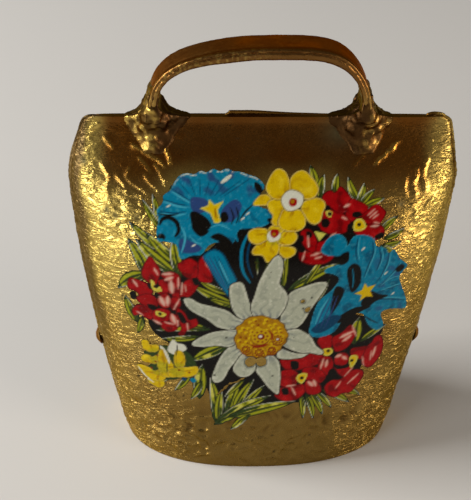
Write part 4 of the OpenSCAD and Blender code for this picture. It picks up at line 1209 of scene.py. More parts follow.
def print_big_gentian(p):
    p.shape([(-7.6, 70), (-6.4, 72.8), (-3.6, 73.8), (-3, 70), (-2.6, 66), (-2.2, 61), (-4.2, 58.2),
             (-6.6, 62.4), (-7.4, 66.6)], BLACK)
    p.line([(-4, 73), (-5.6, 69.4), (-6, 66), (-5.4, 62.6), (-3.6, 59.6)], 0.8, BLUE)
    p.line([(-2.6, 72.6), (-4.2, 69), (-4.4, 65), (-3, 61)], 0.5, BLUE_DEEP)
    p.shape(BIG_TUBE, BLUE, rim=(BLUE_DEEP, 0.3))
    for shift in (-1.9, -0.9, 0.2, 1.2):
        p.line([(-12.8 + shift, 66.6), (-10.6 + 0.8 * shift, 62), (-8.8 + 0.4 * shift, 57.6)], 0.3,
               VIOLET if shift < 0 else BLUE_DEEP)
    p.line([(-11.4, 65.6), (-10, 62.4), (-8.8, 59.6)], 0.5, BLUE_PALE)
    p.shape([(-15.8, 67.4), (-14.4, 69.8), (-11.6, 70.2), (-9, 68.6), (-7.6, 65), (-7, 61),
             (-8, 64), (-9.4, 66.8), (-11.6, 68.4), (-13.8, 68.2)], BLACK, covers=False)
    at, d = p.shape(BIG_GENTIAN, BLUE, steps=4)
    p.lay(at, 0.5 - np.abs(d + 0.05) / 0.2, BLUE_PALE, False)
    inside = np.clip(inked(d), 0, 1)
    p.lay(at, 0.55 * inside * smooth(p.brush[at] * 2 - 0.3), BLUE_DEEP, False)
    p.lay(at, 0.35 * inside * smooth(p.fleck[at] * 2 - 0.2), BLUE_PALE, False)
    upper = smooth((p.rise[at] - 79) / 6) * inside
    p.lay(at, 0.75 * upper * smooth(p.brush[at] * 1.6 + 0.1), VIOLET, False)
    p.lay(at, np.clip(0.5 - (np.abs(d + 0.3) - 0.12) / 0.3, 0, 1) * smooth((p.rise[at] - 83) / 3)
          * smooth(p.fleck[at] * 3 + 0.8), WHITE, False)
    for x in np.arange(-21, -1, 2.5):
        foot = (mix(-15.5, x, 0.45), 81.4)
        start = (x, 84.6 + (x * 1.7) % 1.8)
        p.line([start, mix(np.array(start), np.array(foot), 0.5), foot], 0.2, BLUE_DEEP)
    for line in ([(-25.6, 77.4), (-22, 77), (-19, 77.6)], [(-24.6, 80.4), (-21.4, 79.4), (-18.8, 79)],
                 [(-22.6, 83), (-19.8, 81.2), (-17.8, 80)]):
        p.line(line, 0.36, BLUE_DEEP)
        p.line([(x, r - 0.55) for x, r in line], 0.5, BLUE_PALE)
    p.shape([(-17.8, 81), (-14.4, 80.6), (-13.8, 78.4), (-16.4, 77), (-18, 78.4)], VIOLET,
            covers=False)
    p.shape([(-10.6, 78), (-7.6, 80.6), (-5.8, 79), (-7.6, 75.6), (-10.4, 75.2)], VIOLET,
            covers=False)
    p.shape([(-18.2, 77.2), (-16.8, 77.6), (-14.4, 76.2), (-13.2, 74.4), (-14, 72.4), (-15.8, 71.4),
             (-17.6, 73), (-18, 75.2)], BLACK, covers=False)
    p.shape([(-10.8, 77.2), (-9.6, 77.6), (-9, 76), (-10, 75), (-11, 75.4)], BLACK, covers=False)
    for line in ([(-8.6, 78.6), (-7.8, 76.4), (-8.4, 74.6)], [(-7.2, 78.8), (-6.6, 76.6), (-7.2, 74.8)],
                 [(-2.8, 79.6), (-5, 77.6), (-6.6, 75)]):
        p.line(line, 0.4, BLACK)
    p.shape([(-13.4, 71.4), (-11.4, 72.4), (-9, 71.2), (-8, 69.6), (-10, 70), (-12, 70.6)], BLACK,
            covers=False)
    p.line([(-14, 73), (-11.4, 73.8), (-8, 72.4), (-6.8, 70.4)], 1.0, BLUE)
    p.line([(-13.6, 73.6), (-11.2, 74.4), (-8.4, 73.2)], 0.3, BLUE_PALE)
    p.line([(-25.6, 73.6), (-24.8, 75.4), (-23, 75.8), (-21.4, 74.6), (-21, 72.6), (-22, 70.9)], 1.1,
           BLACK)
    p.line([(-26, 70.4), (-25, 71), (-24.4, 70.2)], 1.3, BLACK)
    p.line([(-26, 76.8), (-23.6, 76.4), (-21, 76.8)], 0.5, BLACK)
    p.shape([(-20.4, 70.6), (-17.6, 70), (-15.4, 68.6), (-17, 67.4), (-20, 67.2), (-21, 68.6)], VIOLET,
            covers=False)
    p.line([(-20.6, 74), (-19.4, 71.2), (-20.4, 67)], 0.5, BLUE_PALE)
    p.line([(-18.2, 71.2), (-16.6, 69.8), (-15.2, 69.8)], 0.34, BLUE_PALE)
    p.line([(-10.8, 84.6), (-9.4, 85.6), (-8.2, 86.6)], 0.9, WHITE)
    p.shape([(-2.6, 84.8), (-1.2, 84), (-0.4, 81.6), (-1.4, 81.8), (-2.6, 83.2)], BLACK, covers=False)
    p.dot(0.9, 75.6, 0.6, BLACK)
    for x, rise in ((-23.4, 78.8), (-4.4, 77.2), (-17.4, 69.2), (-5.6, 76)):
        p.line([(x - 0.5, rise - 0.4), (x + 0.5, rise + 0.3)], 0.34, WHITE)
    star = [(-15.8, 78.4), (-14, 79), (-13.6, 80.6), (-12.4, 79.3), (-10.2, 80.2), (-11.6, 78),
            (-10.9, 75.4), (-12.4, 74.9), (-13.4, 77.2)]
    p.shape(star, YELLOW, steps=2, covers=False, rim=(LEAF_PALE, 0.22))
    p.line([(-12.3, 78.6), (-12, 75.8)], 0.5, AMBER)


SMALL_GENTIAN = [
    (13.4, 68.4), (15.2, 71), (17.6, 71.8), (19.4, 70.4), (19.8, 68.6), (21.2, 70.8), (23.4, 71.2),
    (26, 70.2), (27.2, 67.8), (29.4, 67), (30.4, 65.4), (31.8, 66.2), (33.4, 63.4), (35.6, 61),
    (34.6, 59.4), (33.8, 57.6), (35, 54), (36.4, 50), (36.8, 46.8), (34.2, 47.6), (31.4, 48.2),
    (29.8, 47.2), (31, 43.4), (29.2, 42.2), (26.8, 44.6), (25, 48.4), (22.6, 48.8), (20, 47.6),
    (18, 44), (14.6, 42.6), (11.6, 43.6), (12, 48.6), (13.4, 53.6), (16.2, 56.6), (18.2, 60),
    (16.6, 61.6), (14.4, 62.2), (15.2, 63.4), (18.8, 64.4), (19.4, 66.2), (15.8, 66.4), (13.8, 67.2),
]


def print_small_gentian(p):
    at, d = p.shape(SMALL_GENTIAN, BLUE, steps=3)
    p.lay(at, 0.5 - np.abs(d + 0.06) / 0.24, BLUE_PALE, False)
    inside = np.clip(inked(d), 0, 1)
    p.lay(at, 0.65 * inside * smooth(p.brush[at] * 1.5) * smooth((p.x[at] - 24) / 6), VIOLET, False)
    p.lay(at, 0.65 * inside * smooth(-p.brush[at] * 1.8), BLUE_DEEP, False)
    p.lay(at, 0.3 * inside * smooth(p.fleck[at] * 2 - 0.2), BLUE_PALE, False)
    for line in ([(26, 69.6), (26.4, 66.4), (25.2, 62.6), (24.2, 59.4)],
                 [(27.8, 67.4), (28.4, 64.4), (27.4, 61)], [(30.4, 65.6), (30, 62.4), (28.4, 58.4)],
                 [(33.4, 62), (31.8, 59.4), (29.4, 57)], [(34.4, 55.4), (31.4, 55), (28.6, 54.4)],
                 [(36.2, 49.6), (32, 51.4), (28, 52.2)], [(33.4, 58), (30.8, 57.6), (28.4, 56)],
                 [(22.4, 70.4), (22, 67), (22.6, 64.2)]):
        p.line(line, 0.42, BLUE_DEEP)
        p.line([(x + 0.5, r + 0.3) for x, r in line], 0.3, BLUE_PALE)
    blacks = (
        [(20, 62.4), (21.6, 64), (23.4, 62.6), (23.6, 58.2), (21.6, 55.6), (20.4, 59)],
        [(24.2, 52), (26.4, 55.2), (28.8, 53.8), (31.4, 52.6), (28, 51.6), (25.6, 49.8)],
        [(17.4, 57.8), (19.6, 57), (19, 53.6), (16.8, 49.4), (16.6, 53.6)],
        [(18.8, 48.4), (22.8, 50.8), (27, 50.4), (24.4, 49.2), (21.4, 47.2), (18.6, 46.4)],
        [(17.8, 64.8), (18.4, 66.6), (20.2, 67.2), (20.2, 64.8), (18.4, 63.8)],
        [(33.6, 61.6), (35, 60.8), (33.8, 59.4), (32.4, 60.2)],
    )
    for outline in blacks:
        p.shape(outline, BLACK, covers=False)
    p.line([(21.4, 62.6), (21.8, 58.8), (21.6, 57)], 0.3, BLUE)
    p.shape([(11.9, 45), (13.8, 43.8), (17.2, 45.4), (19.4, 48.4), (17, 49), (14, 47)], BLUE_DEEP,
            covers=False)
    for shift in (0, 1.2, 2.4):
        p.line([(13 + shift, 45.4), (14.4 + shift, 50), (16.4 + 0.7 * shift, 55)], 0.32, VIOLET)
    p.line([(12.9, 46.6), (14, 50.6), (15.8, 54.4)], 0.5, BLUE_PALE)
    p.line([(24.6, 48.6), (27, 46.2), (29.6, 44.2)], 0.4, BLACK)
    for x, rise in ((23.8, 67.6), (32.6, 53), (30, 60)):
        p.line([(x - 0.4, rise - 0.4), (x + 0.4, rise + 0.3)], 0.4, WHITE)
    star = [(22.4, 55.2), (24.2, 56), (24.8, 58), (25.6, 56.6), (27.6, 57), (26.4, 55.2),
            (27.1, 53.4), (25.4, 53.8), (23.8, 52.6), (24.2, 54.4)]
    p.shape(star, YELLOW, steps=2, covers=False)


PETALS = [
    # outline from the base round the tip and back, in turn round the disc
    [(-3.4, 52), (-2.6, 56), (-1.4, 60.6), (0.8, 65), (2.8, 67), (4.2, 65.6), (4, 62.4), (3.4, 59.6),
     (4.6, 57.8), (5.6, 55.6), (5, 52), (2.6, 48.6), (-1.6, 48.4)],
    [(4, 48.4), (4.4, 51.4), (5.2, 54.6), (6.4, 57), (9.2, 58.4), (13, 59.6), (15.2, 59.2),
     (14.6, 57), (13, 54), (11.4, 51), (9.6, 47.2), (7.4, 45.6), (4.4, 46)],
    [(4.6, 44.4), (8, 45.6), (10.6, 44.2), (12.2, 42.6), (13.4, 40), (15.4, 38), (14.8, 37),
     (12, 37.8), (9, 38.2), (5, 40.6)],
    [(3.4, 37.4), (4.6, 39.4), (7, 38.4), (9.2, 37.8), (12, 38.2), (10.2, 36.6), (7, 36.2), (4.4, 36.4)],
    [(-2.2, 34.4), (-1.6, 37.4), (2, 37.6), (4, 35.6), (4.6, 32), (4.6, 28.6), (4.2, 25), (2, 26.8),
     (0, 29.8), (-1.6, 32.4)],
    [(-7.6, 33), (-6.6, 36), (-4.6, 38.6), (-2.4, 37.2), (-1.8, 33.4), (-3.4, 31.2), (-5.8, 30.8)],
    [(-13, 29.8), (-12.2, 33.4), (-10.6, 37.4), (-8.6, 40.2), (-6, 42), (-4.4, 39.6), (-6.4, 36.2),
     (-8.4, 33.4), (-10, 29.8), (-11.8, 28.6)],
    [(-18, 40.8), (-15.6, 43), (-12.6, 44.6), (-9.4, 45.2), (-5.6, 45.4), (-6, 42.4), (-8.4, 40.2),
     (-11.6, 40.4), (-15, 39.8), (-17.4, 39.8)],
    [(-20, 54), (-18.4, 54.6), (-16, 53.2), (-12.6, 52.4), (-9.4, 51.4), (-6.8, 49.2), (-4.2, 47.6),
     (-5.4, 45), (-8.4, 45.4), (-11.6, 46.2), (-14.2, 48.4), (-17, 50), (-19, 51.6)],
    [(-8.6, 58.8), (-6.6, 60), (-5.4, 59.4), (-4.6, 57), (-3.6, 53.4), (-1.4, 49), (-3.4, 47.8),
     (-5.6, 48.6), (-7.6, 51), (-8.6, 54.6)],
]
PETALS_FROM_BELOW = (3, 9, 1, 2, 4, 6, 5, 8, 7, 0)
DISC = (-0.8, 43.4)


def print_edelweiss(p):
    cx, cy = DISC
    for number in PETALS_FROM_BELOW:
        outline = PETALS[number]
        at, d = p.shape(outline, INK, edge=0.22, steps=4)
        p.shape(outline, WOOL, edge=-0.05, steps=4)
        inside = np.clip(inked(d + 0.3), 0, 1)
        x, rise = p.x[at], p.rise[at]
        a = np.arctan2(rise - cy, x - cx)
        fine = np.sin(26 * a + 4 * p.brush[at])
        p.lay(at, 0.45 * inside * smooth(fine - 0.1 + p.fleck[at]), WOOL_SHADE, False)
        p.lay(at, 0.5 * inside * smooth(p.fleck[at] * 2 + p.brush[at] - 0.4), WHITE, False)
        p.lay(at, 0.8 * inside * smooth((d + 1.1) / 0.8) * smooth(p.fleck[at] + 0.6), WHITE, False)
        near = smooth((9.4 - np.hypot(x - cx, rise - cy)) / 2.6)
        p.lay(at, 0.55 * inside * near * smooth(fine * 1.5), WOOL_SLATE, False)
    for x, rise in ((4.6, 27.4), (-12.3, 31), (11.6, 55), (9.6, 51.8), (-2.2, 48.9), (2.6, 31),
                    (-9.4, 43)):
        p.dot(x, rise, 0.26, INK, False)
    p.dot(cx, cy, 6.7, DISC_EDGE)
    p.dot(cx, cy, 6.4, DISC_BASE)
    rng = np.random.default_rng(601)
    for ring, count in ((1.2, 7), (2.7, 13), (4.0, 18), (5.3, 24)):
        for k in range(count):
            a = 2 * math.pi * (k + rng.uniform(-0.25, 0.25)) / count
            r = ring + rng.uniform(-0.25, 0.25)
            x, rise = cx + r * math.cos(a), cy + r * math.sin(a)
            p.dot(x, rise, 0.52, AMBER if rng.uniform() < 0.3 else YELLOW, False)
            p.dot(x + 0.26, rise - 0.3, 0.28, RUST if rng.uniform() < 0.45 else AMBER, False)
    florets = ((4.4, -1, 1.5), (-3.6, -4, 1.3), (3, -4.3, 1.2), (-0.2, -5, 1.4), (0.1, -0.1, 2.3))
    for fx, fr, r in florets:
        p.dot(cx + fx, cy + fr - 0.15, r + 0.3, DISC_SHADE, False)
        p.dot(cx + fx, cy + fr + 0.2, r + 0.15, mix(YELLOW, AMBER, 0.35), False)
        for k in range(9):
            a = 2 * math.pi * k / 9 + fx
            reach = 0.72 * r
            p.dot(cx + fx + reach * math.cos(a), cy + fr + reach * math.sin(a), 0.3, RUST, False)
        p.dot(cx + fx, cy + fr, 0.42 * r, RUST if r > 1.15 else AMBER, False)
        p.dot(cx + fx - 0.1, cy + fr + 0.1, 0.2 * r, WHITE if r > 1.45 else YELLOW, False)
    p.line([(cx - 2.6, cy - 2.6), (cx - 0.6, cy - 3.2), (cx + 2, cy - 2.4)], 0.8, RUST_STROKE)
    p.line([(cx + 1.8, cy + 2), (cx + 3, cy + 0.4), (cx + 2.8, cy - 1.2)], 0.6, RUST_STROKE)


def print_wear(p):
    """Scratches and chips that lay the brass bare."""
    ground = np.stack([p.x, p.rise, 0 * p.x], axis=-1)
    chips = (
        [(-4.6, 35.6), (-3.6, 37), (-2.2, 36.8), (-1.4, 35.8), (-2.6, 34.2), (-4, 34)],
        [(-1.4, 36.6), (0.4, 36.8), (0.9, 35), (-0.4, 34), (-1.5, 34.6)],
        [(8.9, 54.3), (9.8, 54.5), (9.9, 53.6), (9.1, 53.5)],
        [(10.9, 52.1), (11.5, 51.8), (11.1, 50.7), (10.2, 50.6), (10, 51.3)],
    )
    for outline in chips:
        curve = rounded(outline, 3)
        at = p.near(curve, 1)
        d = outline_distance(p.x[at], p.rise[at], curve) + 0.15 * p.fleck[at]
        p.cover[at] = np.minimum(p.cover[at], np.clip(inked(-d), 0, 1))
        p.lay(at, 0.5 - (np.abs(d - 0.15) - 0.1) / 0.3, INK, False)
    scratch = [(-11.4, 25), (-9.6, 27), (-8.2, 28.6), (-6.4, 29.2), (-4.8, 30.4)]
    at = p.near(scratch, 1)
    d, _ = line_distance(p.x[at], p.rise[at], rounded(scratch, 4, closed=False))
    broken = d + 0.35 * p.fleck[at] - 0.05
    p.cover[at] = np.minimum(p.cover[at], np.clip(inked(0.25 - broken), 0, 1))
    nicks = smooth((noise(ground / 0.8, 211) - 0.72) / 0.06) * smooth((noise(ground / 6, 212)) / 0.3)
    p.ink[:] = mix(p.ink, srgb(60, 46, 24), (0.8 * nicks)[..., None])
    worn = smooth((noise(ground / 0.7, 213) - 0.66) / 0.1)
    p.ink[:] = mix(p.ink, np.minimum(1, p.ink * 1.5 + 0.04), (0.5 * worn)[..., None])


def clip_grid(cover, points, *layers):
    """Triangles of a grid where cover is over a half, cut along that line, with their layers."""
    rows, cols = cover.shape
    quads = grid_quads(rows, cols)
    triangles = np.vstack([quads[:, [0, 1, 2]], quads[:, [0, 2, 3]]])
    flat = cover.ravel() - 0.5
    inside = flat[triangles] > 0
    count = inside.sum(axis=1)
    whole = triangles[count == 3].tolist()
    store = [points.reshape(-1, 3)] + [layer.reshape(rows * cols, -1) for layer in layers]
    added = [[] for _ in store]
    made = {}

    def cut(a, b):
        key = (min(a, b), max(a, b))
        if key not in made:
            t = np.clip(flat[a] / (flat[a] - flat[b]), 0.08, 0.92)
            made[key] = rows * cols + len(added[0])
            for values, more in zip(store, added):
                more.append(mix(values[a], values[b], t))
        return made[key]

    for triangle, flags in zip(triangles[(count > 0) & (count < 3)], inside[(count > 0) & (count < 3)]):
        loop = []
        for k in range(3):
            a, b = triangle[k], triangle[(k + 1) % 3]
            if flags[k]:
                loop.append(a)
            if flags[k] != flags[(k + 1) % 3]:
                loop.append(cut(a, b))
        whole += [[loop[0], loop[k], loop[k + 1]] for k in range(1, len(loop) - 1)]
    faces = np.array(whole)
    used, faces = np.unique(faces, return_inverse=True)
    return [np.vstack([values, np.array(more)])[used]
            for values, more in zip(store, added)] + [faces.reshape(-1, 3)]


def close_film(top, bottom, faces):
    """A closed skin between two copies of an open mesh."""
    count = len(top)
    edges = np.vstack([faces[:, [0, 1]], faces[:, [1, 2]], faces[:, [2, 0]]])
    codes = edges[:, 0] * count + edges[:, 1]
    open_edges = edges[~np.isin(codes, edges[:, 1] * count + edges[:, 0])]
    rim = np.stack([open_edges[:, 1], open_edges[:, 0], open_edges[:, 0] + count,
                    open_edges[:, 1] + count], axis=1)
    every = faces.tolist() + (faces[:, ::-1] + count).tolist() + rim.tolist()
    return np.vstack([top, bottom]), every


def print_finish():
    """Glossy printed film: the paint layer holds its inks."""
    f = Finish("flower_print")
    grain = f.noise(2600, 3)
    f.set(Base_Color=f.mixed(f.spread(grain, 0.4, 0.75, 0.0, 0.1), f.paint().outputs["Color"],
                             tuple(srgb(44, 36, 20))))
    f.set(Roughness=f.spread(f.noise(1200, 3), 0.3, 0.7, 0.14, 0.3), Specular_IOR_Level=0.12)
    f.relief(f.noise(1500, 3), 0.04, 0.6)
    return f.material


def make_transfer():
    x, rise = np.meshgrid(np.arange(-38, 39.5, FILM_CELL), np.arange(12, 90.5, FILM_CELL))
    p = Print(x, rise)
    print_greens_and_small_flowers(p)
    print_big_gentian(p)
    print_small_gentian(p)
    print_primroses(p)
    print_edelweiss(p)
    print_wear(p)
    z = height_of(rise)
    form = np.stack([x, front_y(x, z), z], axis=-1)
    normal = grid_normals(form)
    surface = form + normal * skin_lift(crinkle(form, True))[..., None]
    normal = grid_normals(surface)
    surface, normal, ink, faces = clip_grid(p.cover, surface, normal, p.ink)
    bottom, top = surface + FILM_GAP * normal, surface + (FILM_GAP + FILM_T) * normal
    points, faces = close_film(top, bottom, faces)
    colours = np.vstack([ink, ink]) * (0.76, 0.76, 0.72)
    colours = np.hstack([colours, np.ones((len(colours), 1))])
    add_piece("flower_transfer_print", points, faces, [print_finish()], "bell",
              ["flower_transfer"], colours=colours, sharp=60)


make_transfer()


# ---------------------------------------------------------------- handle strap and its braze

ARCH_Z = BODY_H + LEG_STRAIGHT
ARCH_H = HANDLE_RISE - LEG_STRAIGHT - STRAP_T / 2


def arch_line(low, steps=90):
    """Middle line of the strap in (x, z), from the right leg over the top to the left one."""
    p = np.radians(np.linspace(0, 180, steps + 1))
    up = np.abs(np.sin(p)) ** (2 / ARCH_SQUARE)
    out = np.sign(np.cos(p)) * np.abs(np.cos(p)) ** (2 / ARCH_SQUARE)
    x = LEG_SPAN / 2 * out - LEG_SHIFT + CROWN_LEAN * up ** 6
    arch = np.stack([x, ARCH_Z + ARCH_H * up], axis=1)
    leg = LEG_SPAN / 2
    return np.vstack([[(leg - LEG_SHIFT, low)], arch, [(-leg - LEG_SHIFT, low)]])


STRAP_LINE = arch_line(BODY_H - PRONG_DROP)


def strap_distance(x, z):
    """Signed distance from the strap's middle surface, positive outside the arch."""
    d, _ = line_distance(x, z, STRAP_LINE)
    within = outline_distance(x, z, STRAP_LINE) < 0
    return np.where(within, -d, d)


def leg_middle(side):
    return side * LEG_SPAN / 2 - LEG_SHIFT


def roof_distance(y, z):
    """Distance from the roof near the ridge, negative inside it."""
    slope = (half_d(z - 0.2) - half_d(z)) / 0.2
    side = (np.abs(y) - half_d(z)) / np.sqrt(1 + slope ** 2)
    return np.maximum(side, z - BODY_H)


def foot_height(z):
    """How far the handle's foot stands out of the roof: slumped onto it lower down."""
    return 0.2 + 3.4 * np.clip((z - BODY_H + 8) / 8.5, 0, 1) ** 2 + 3 * np.maximum(z - BODY_H, 0)


def strap_solid(x, y, z):
    n = strap_distance(x, z)
    soft = 0.55
    front = np.exp(-((y + STRAP_W / 2 - 0.7) / 0.8) ** 2)
    bead = 0.2 + 0.75 * smooth((x + 24) / 16) * smooth((22 - x) / 8)
    groove = 0.22 * np.exp(-((n - 0.12) / 0.17) ** 2) * smooth((-y - STRAP_W / 2 + 0.9) / 0.4)
    dip = 0.10 * np.exp(-((y + STRAP_W / 2 - 2.1) / 0.5) ** 2) * (n > 0)
    half = STRAP_T / 2 + bead * front * (n < 0)
    a = np.abs(n) - half + soft + dip
    b = np.abs(y) - STRAP_W / 2 + soft + groove
    body = corner_distance(a, b) - soft
    slot = roof_distance(y, z) - 0.1
    body = np.maximum(np.maximum(body, -slot), BODY_H - PRONG_DROP - z)
    return -blend_union(-body, foot_height(z) - roof_distance(y, z), 1.2)


def strap_tint(points, normals):
    """Red-brown on the outer face, brass on the worn edges and legs."""
    x, y, z = points.T
    outer = smooth(normals[:, 2] * 1.4) * smooth((y + STRAP_W / 2 + 0.2 - 1.6) / 1.2)
    leg = smooth((106 - z) / 8)
    red, brown, brass = srgb(172, 96, 14), srgb(122, 86, 44), srgb(170, 138, 74)
    colour = np.zeros((len(x), 3)) + brown
    shade = mix(0.62, 1.0, smooth(0.5 + noise(points / 5, 112)))
    shade = shade * mix(0.2, 1.0, smooth((x + 17) / 15))
    colour = mix(colour, red * mix(0.7, 1, shade)[:, None], (outer * (1 - 0.6 * leg) * shade)[:, None])
    worn = smooth((noise(points / 0.8, 111) - 0.1) / 0.3) * smooth((-y - STRAP_W / 2 + 1.5) / 0.6)
    worn = worn * smooth((4 - x) / 14)
    colour = mix(colour, brass, (0.8 * worn)[:, None])
    colour = mix(colour, brass, (0.8 * leg * (1 - outer))[:, None])
    rough = 0.2 + 0.1 * outer
    return np.concatenate([colour, rough[:, None]], axis=1)


def make_strap():
    low = (-LEG_SPAN / 2 - LEG_SHIFT - 3, -STRAP_W / 2 - 0.6, BODY_H - PRONG_DROP - 0.6)
    high = (LEG_SPAN / 2 + 4, STRAP_W / 2 + 0.6, BODY_H + HANDLE_RISE + 0.6)
    points, faces, normals = surface_net(strap_solid, low, high, 0.26)
    tint = strap_tint(points, normals)
    dents = 0.07 * noise(points / 4, 121) + 0.04 * noise(points / 1.3, 122) - 0.1
    points = points + normals * dents[:, None]
    add_piece("handle_strap_worn", points, faces, [PATINA], "bell", ["handle_strap"],
              colours=tint)


def fillet_solid(side):
    mid = leg_middle(side)

    def solid(x, y, z):
        n = np.abs(strap_distance(x, z))
        inward = smooth(0.5 + (x - mid) * -side / 3)
        drop = np.clip(1 + (z - BODY_H) / (1.15 * FILLET_DOWN), 0.1, 1)
        reach = mix(0.9 * FILLET_OUT, 0.85 * FILLET_IN, inward) * drop ** 1.2 + 0.6
        up = FILLET_UP * mix(0.25, 1, drop)
        strap = corner_distance(n - STRAP_T / 2, np.abs(y) - STRAP_W / 2 + 0.6) - 0.2
        strap = np.maximum(strap, BODY_H - PRONG_DROP - z)
        roof = roof_distance(y, z)
        body = blend_union(strap * up / reach, roof, up)
        u = np.hypot(np.maximum(strap, 0) / reach, np.maximum(z - BODY_H, 0) / 9.5)
        spot = np.stack(np.broadcast_arrays(x, y, z), axis=-1)
        u = u + 0.16 * smooth(BODY_H - z) * noise(spot / 2.4, 138 + side)
        body = body - 0.14 + 0.5 * smooth((u - 0.66) / 0.3)
        body = -blend_union(-body, foot_height(z) + 0.25 - roof, 1.2)
        return np.maximum(np.maximum(body, -(roof + 0.5)), (u - 1.1) * 8)

    return solid


def fillet_tint(points, normals, side):
    """Gold on the outer front of the braze, dark brown behind and towards the middle: painted highlight on
    the front, painted shade behind and inside.
    """
    x, y, z = points.T
    mid = leg_middle(side)
    front = smooth((-normals[:, 1] + 0.25) / 0.5)
    outer = smooth((1.6 - (x - mid) * -side + 2 * noise(points / 2.5, 135)) / 3)
    outer = outer * mix(0.1, 1, smooth(noise(points / 1.5, 137) * 2.5 + 0.35))
    # The left foot's gold is lighter than the right one's: painted light from the left.
    gold = srgb(196, 164, 84) if side < 0 else srgb(142, 112, 58)
    # Darker brown than the skin around it, darkest behind and towards the middle: partly the braze's own
    # colour, partly painted shade.
    base = mix(skin_tint(points, 0.1 + 0 * x, False)[:, :3], srgb(84, 54, 22), 0.6)
    base = mix(base, srgb(58, 44, 28), (0.7 * (1 - outer))[:, None])
    colour = mix(base, gold, (front * outer)[:, None])
    grey = smooth((noise(points / 2.2, 136 + side) - 0.15) / 0.3)
    colour = mix(colour, srgb(96, 72, 44), (0.4 * grey)[:, None])
    return np.concatenate([colour, (0.3 - 0.14 * outer + 0.08 * grey)[:, None]], axis=1)


# lumps on the front of each foot: right of the leg, below the ridge, width, height, how proud
FOOT_LUMPS = {
    -1: ((2.6, 0.4, 1.5, 1.6, 0.5), (-2.6, 3.2, 1.6, 2.2, 0.4), (-0.4, 6.4, 1.2, 1.8, 0.35)),
    1: ((-3.2, 2.6, 2.2, 1.8, 0.8), (4.2, 2.2, 1.7, 2.2, 0.8), (0.6, 5.4, 1.8, 1.4, 0.4)),
}


def make_fillets():
    for side, name in ((-1, "handle_braze_left"), (1, "handle_braze_right")):
        mid = leg_middle(side)
        low = (mid - 14, -9, BODY_H - 13)
        high = (mid + 14, 9, BODY_H + 11)
        points, faces, normals = surface_net(fillet_solid(side), low, high, 0.3)
        sway = noise(points / 3, 131)
        rough = ridges(points / (1.8, 1.8, 3.6) + 0.4 * sway[:, None], 132)
        lumps = 0.34 * noise(points / 1.9, 133 + side) + 0.22 * rough - 0.12
        x, y, z = points.T
        for away, low_by, wide, tall, proud in FOOT_LUMPS[side]:
            lumps = lumps + proud * (y < 0) * bump(x, z, mid + away, BODY_H - low_by, wide, tall)
        keep = smooth((roof_distance(y, z) - 0.05) / 0.9)
        points = points + normals * (lumps * keep)[:, None]
        add_piece(name + "_skin", points, faces, [SKIN], "bell", [name], sharp=50,
                  colours=fillet_tint(points, normals, side))


make_strap()
make_fillets()


# ---------------------------------------------------------------- rivets

def rivet_solid(x, y, z):
    """Rivet along z, whose zero lies on the front sheet's outer face."""
    r = np.hypot(x, y)
    seat = LAP_T + 0.03
    ball = (RIVET_HEAD_D ** 2 / 4 + RIVET_HEAD_H ** 2) / (2 * RIVET_HEAD_H)
    dome = np.hypot(r, z - seat - RIVET_HEAD_H + ball) - ball
    dome = np.maximum(dome, seat - z)
    tail = -SHEET_T - 0.15
    half = RIVET_TAIL_H / 2
    flat = np.maximum(r - RIVET_TAIL_D / 2 + 0.25 * (tail - z), np.abs(z - tail + half) - half)
    shank = np.maximum(r - RIVET_D / 2, np.abs(z) - 1.3)
    return blend_union(np.minimum(dome, flat), shank, 0.3)


def make_rivets():
    for side, name in ((-1, "seam_rivet_left"), (1, "seam_rivet_right")):
        points, faces, normals = surface_net(rivet_solid, (-3.2, -3.2, -2.4), (3.2, 3.2, 3), 0.15)
        dents = -0.10 * ridges(points / 1.7, 141 + side) - 0.02
        points = points + normals * dents[:, None]
        rise = half_w(np.array(RIVET_Z + 0.5)) - half_w(np.array(RIVET_Z - 0.5))
        turn = Matrix.Rotation(side * (math.pi / 2 + math.atan(rise)), 3, "Y")
        points = points @ np.array(turn).T + (side * half_w(np.array(RIVET_Z)), 0, RIVET_Z)
        tint = np.zeros((len(points), 4)) + (*srgb(150, 116, 64), 0.24)
        add_piece(name + "_head", points, faces, [PATINA], "bell", [name],
                  colours=tint)


make_rivets()


# ---------------------------------------------------------------- clapper

BAR_Z = BODY_H - STAPLE_DROP
LINK_TOP = BAR_Z + STAPLE_D / 2 + HANG_GAP
LINK_LOW = LINK_TOP - LINK_IN_L
LINK_R = (LINK_IN_W + LINK_D) / 2
PIVOT_Z = LINK_LOW - LINK_D / 2
EYE_R = (EYE_IN_D + EYE_D) / 2
EYE_Z = PIVOT_Z + LINK_D / 2 + HANG_GAP - EYE_IN_D / 2
BALL_Z = BALL_LIFT + BALL_D / 2
WORN = 0.02


def staple_line():
    half, top = STAPLE_SPAN / 2, BODY_H - STAPLE_END
    turn = np.radians(np.linspace(-90, 0, 9))
    bend = np.stack([half - STAPLE_BEND + STAPLE_BEND * np.cos(turn),
                     BAR_Z + STAPLE_BEND + STAPLE_BEND * np.sin(turn)], axis=1)
    right = np.vstack([bend, [(half, top)]])
    return np.vstack([right[::-1] * (-1, 1), right])


def staple_solid(x, y, z):
    d, _ = line_distance(x, z, staple_line())
    wire = np.hypot(d, y) - STAPLE_D / 2 + WORN
    return np.maximum(wire, z - (BODY_H - STAPLE_END))


def link_solid(x, y, z):
    run = (LINK_IN_L - LINK_IN_W) / 2
    middle = (LINK_TOP + LINK_LOW) / 2
    d = np.hypot(y, np.maximum(np.abs(z - middle) - run, 0)) - LINK_R
    weld = 0.22 * bump(y, z, LINK_R, middle, 1.2, 0.9) * smooth(d / 0.5 + 0.5)
    return np.hypot(d, x) - LINK_D / 2 + WORN - weld


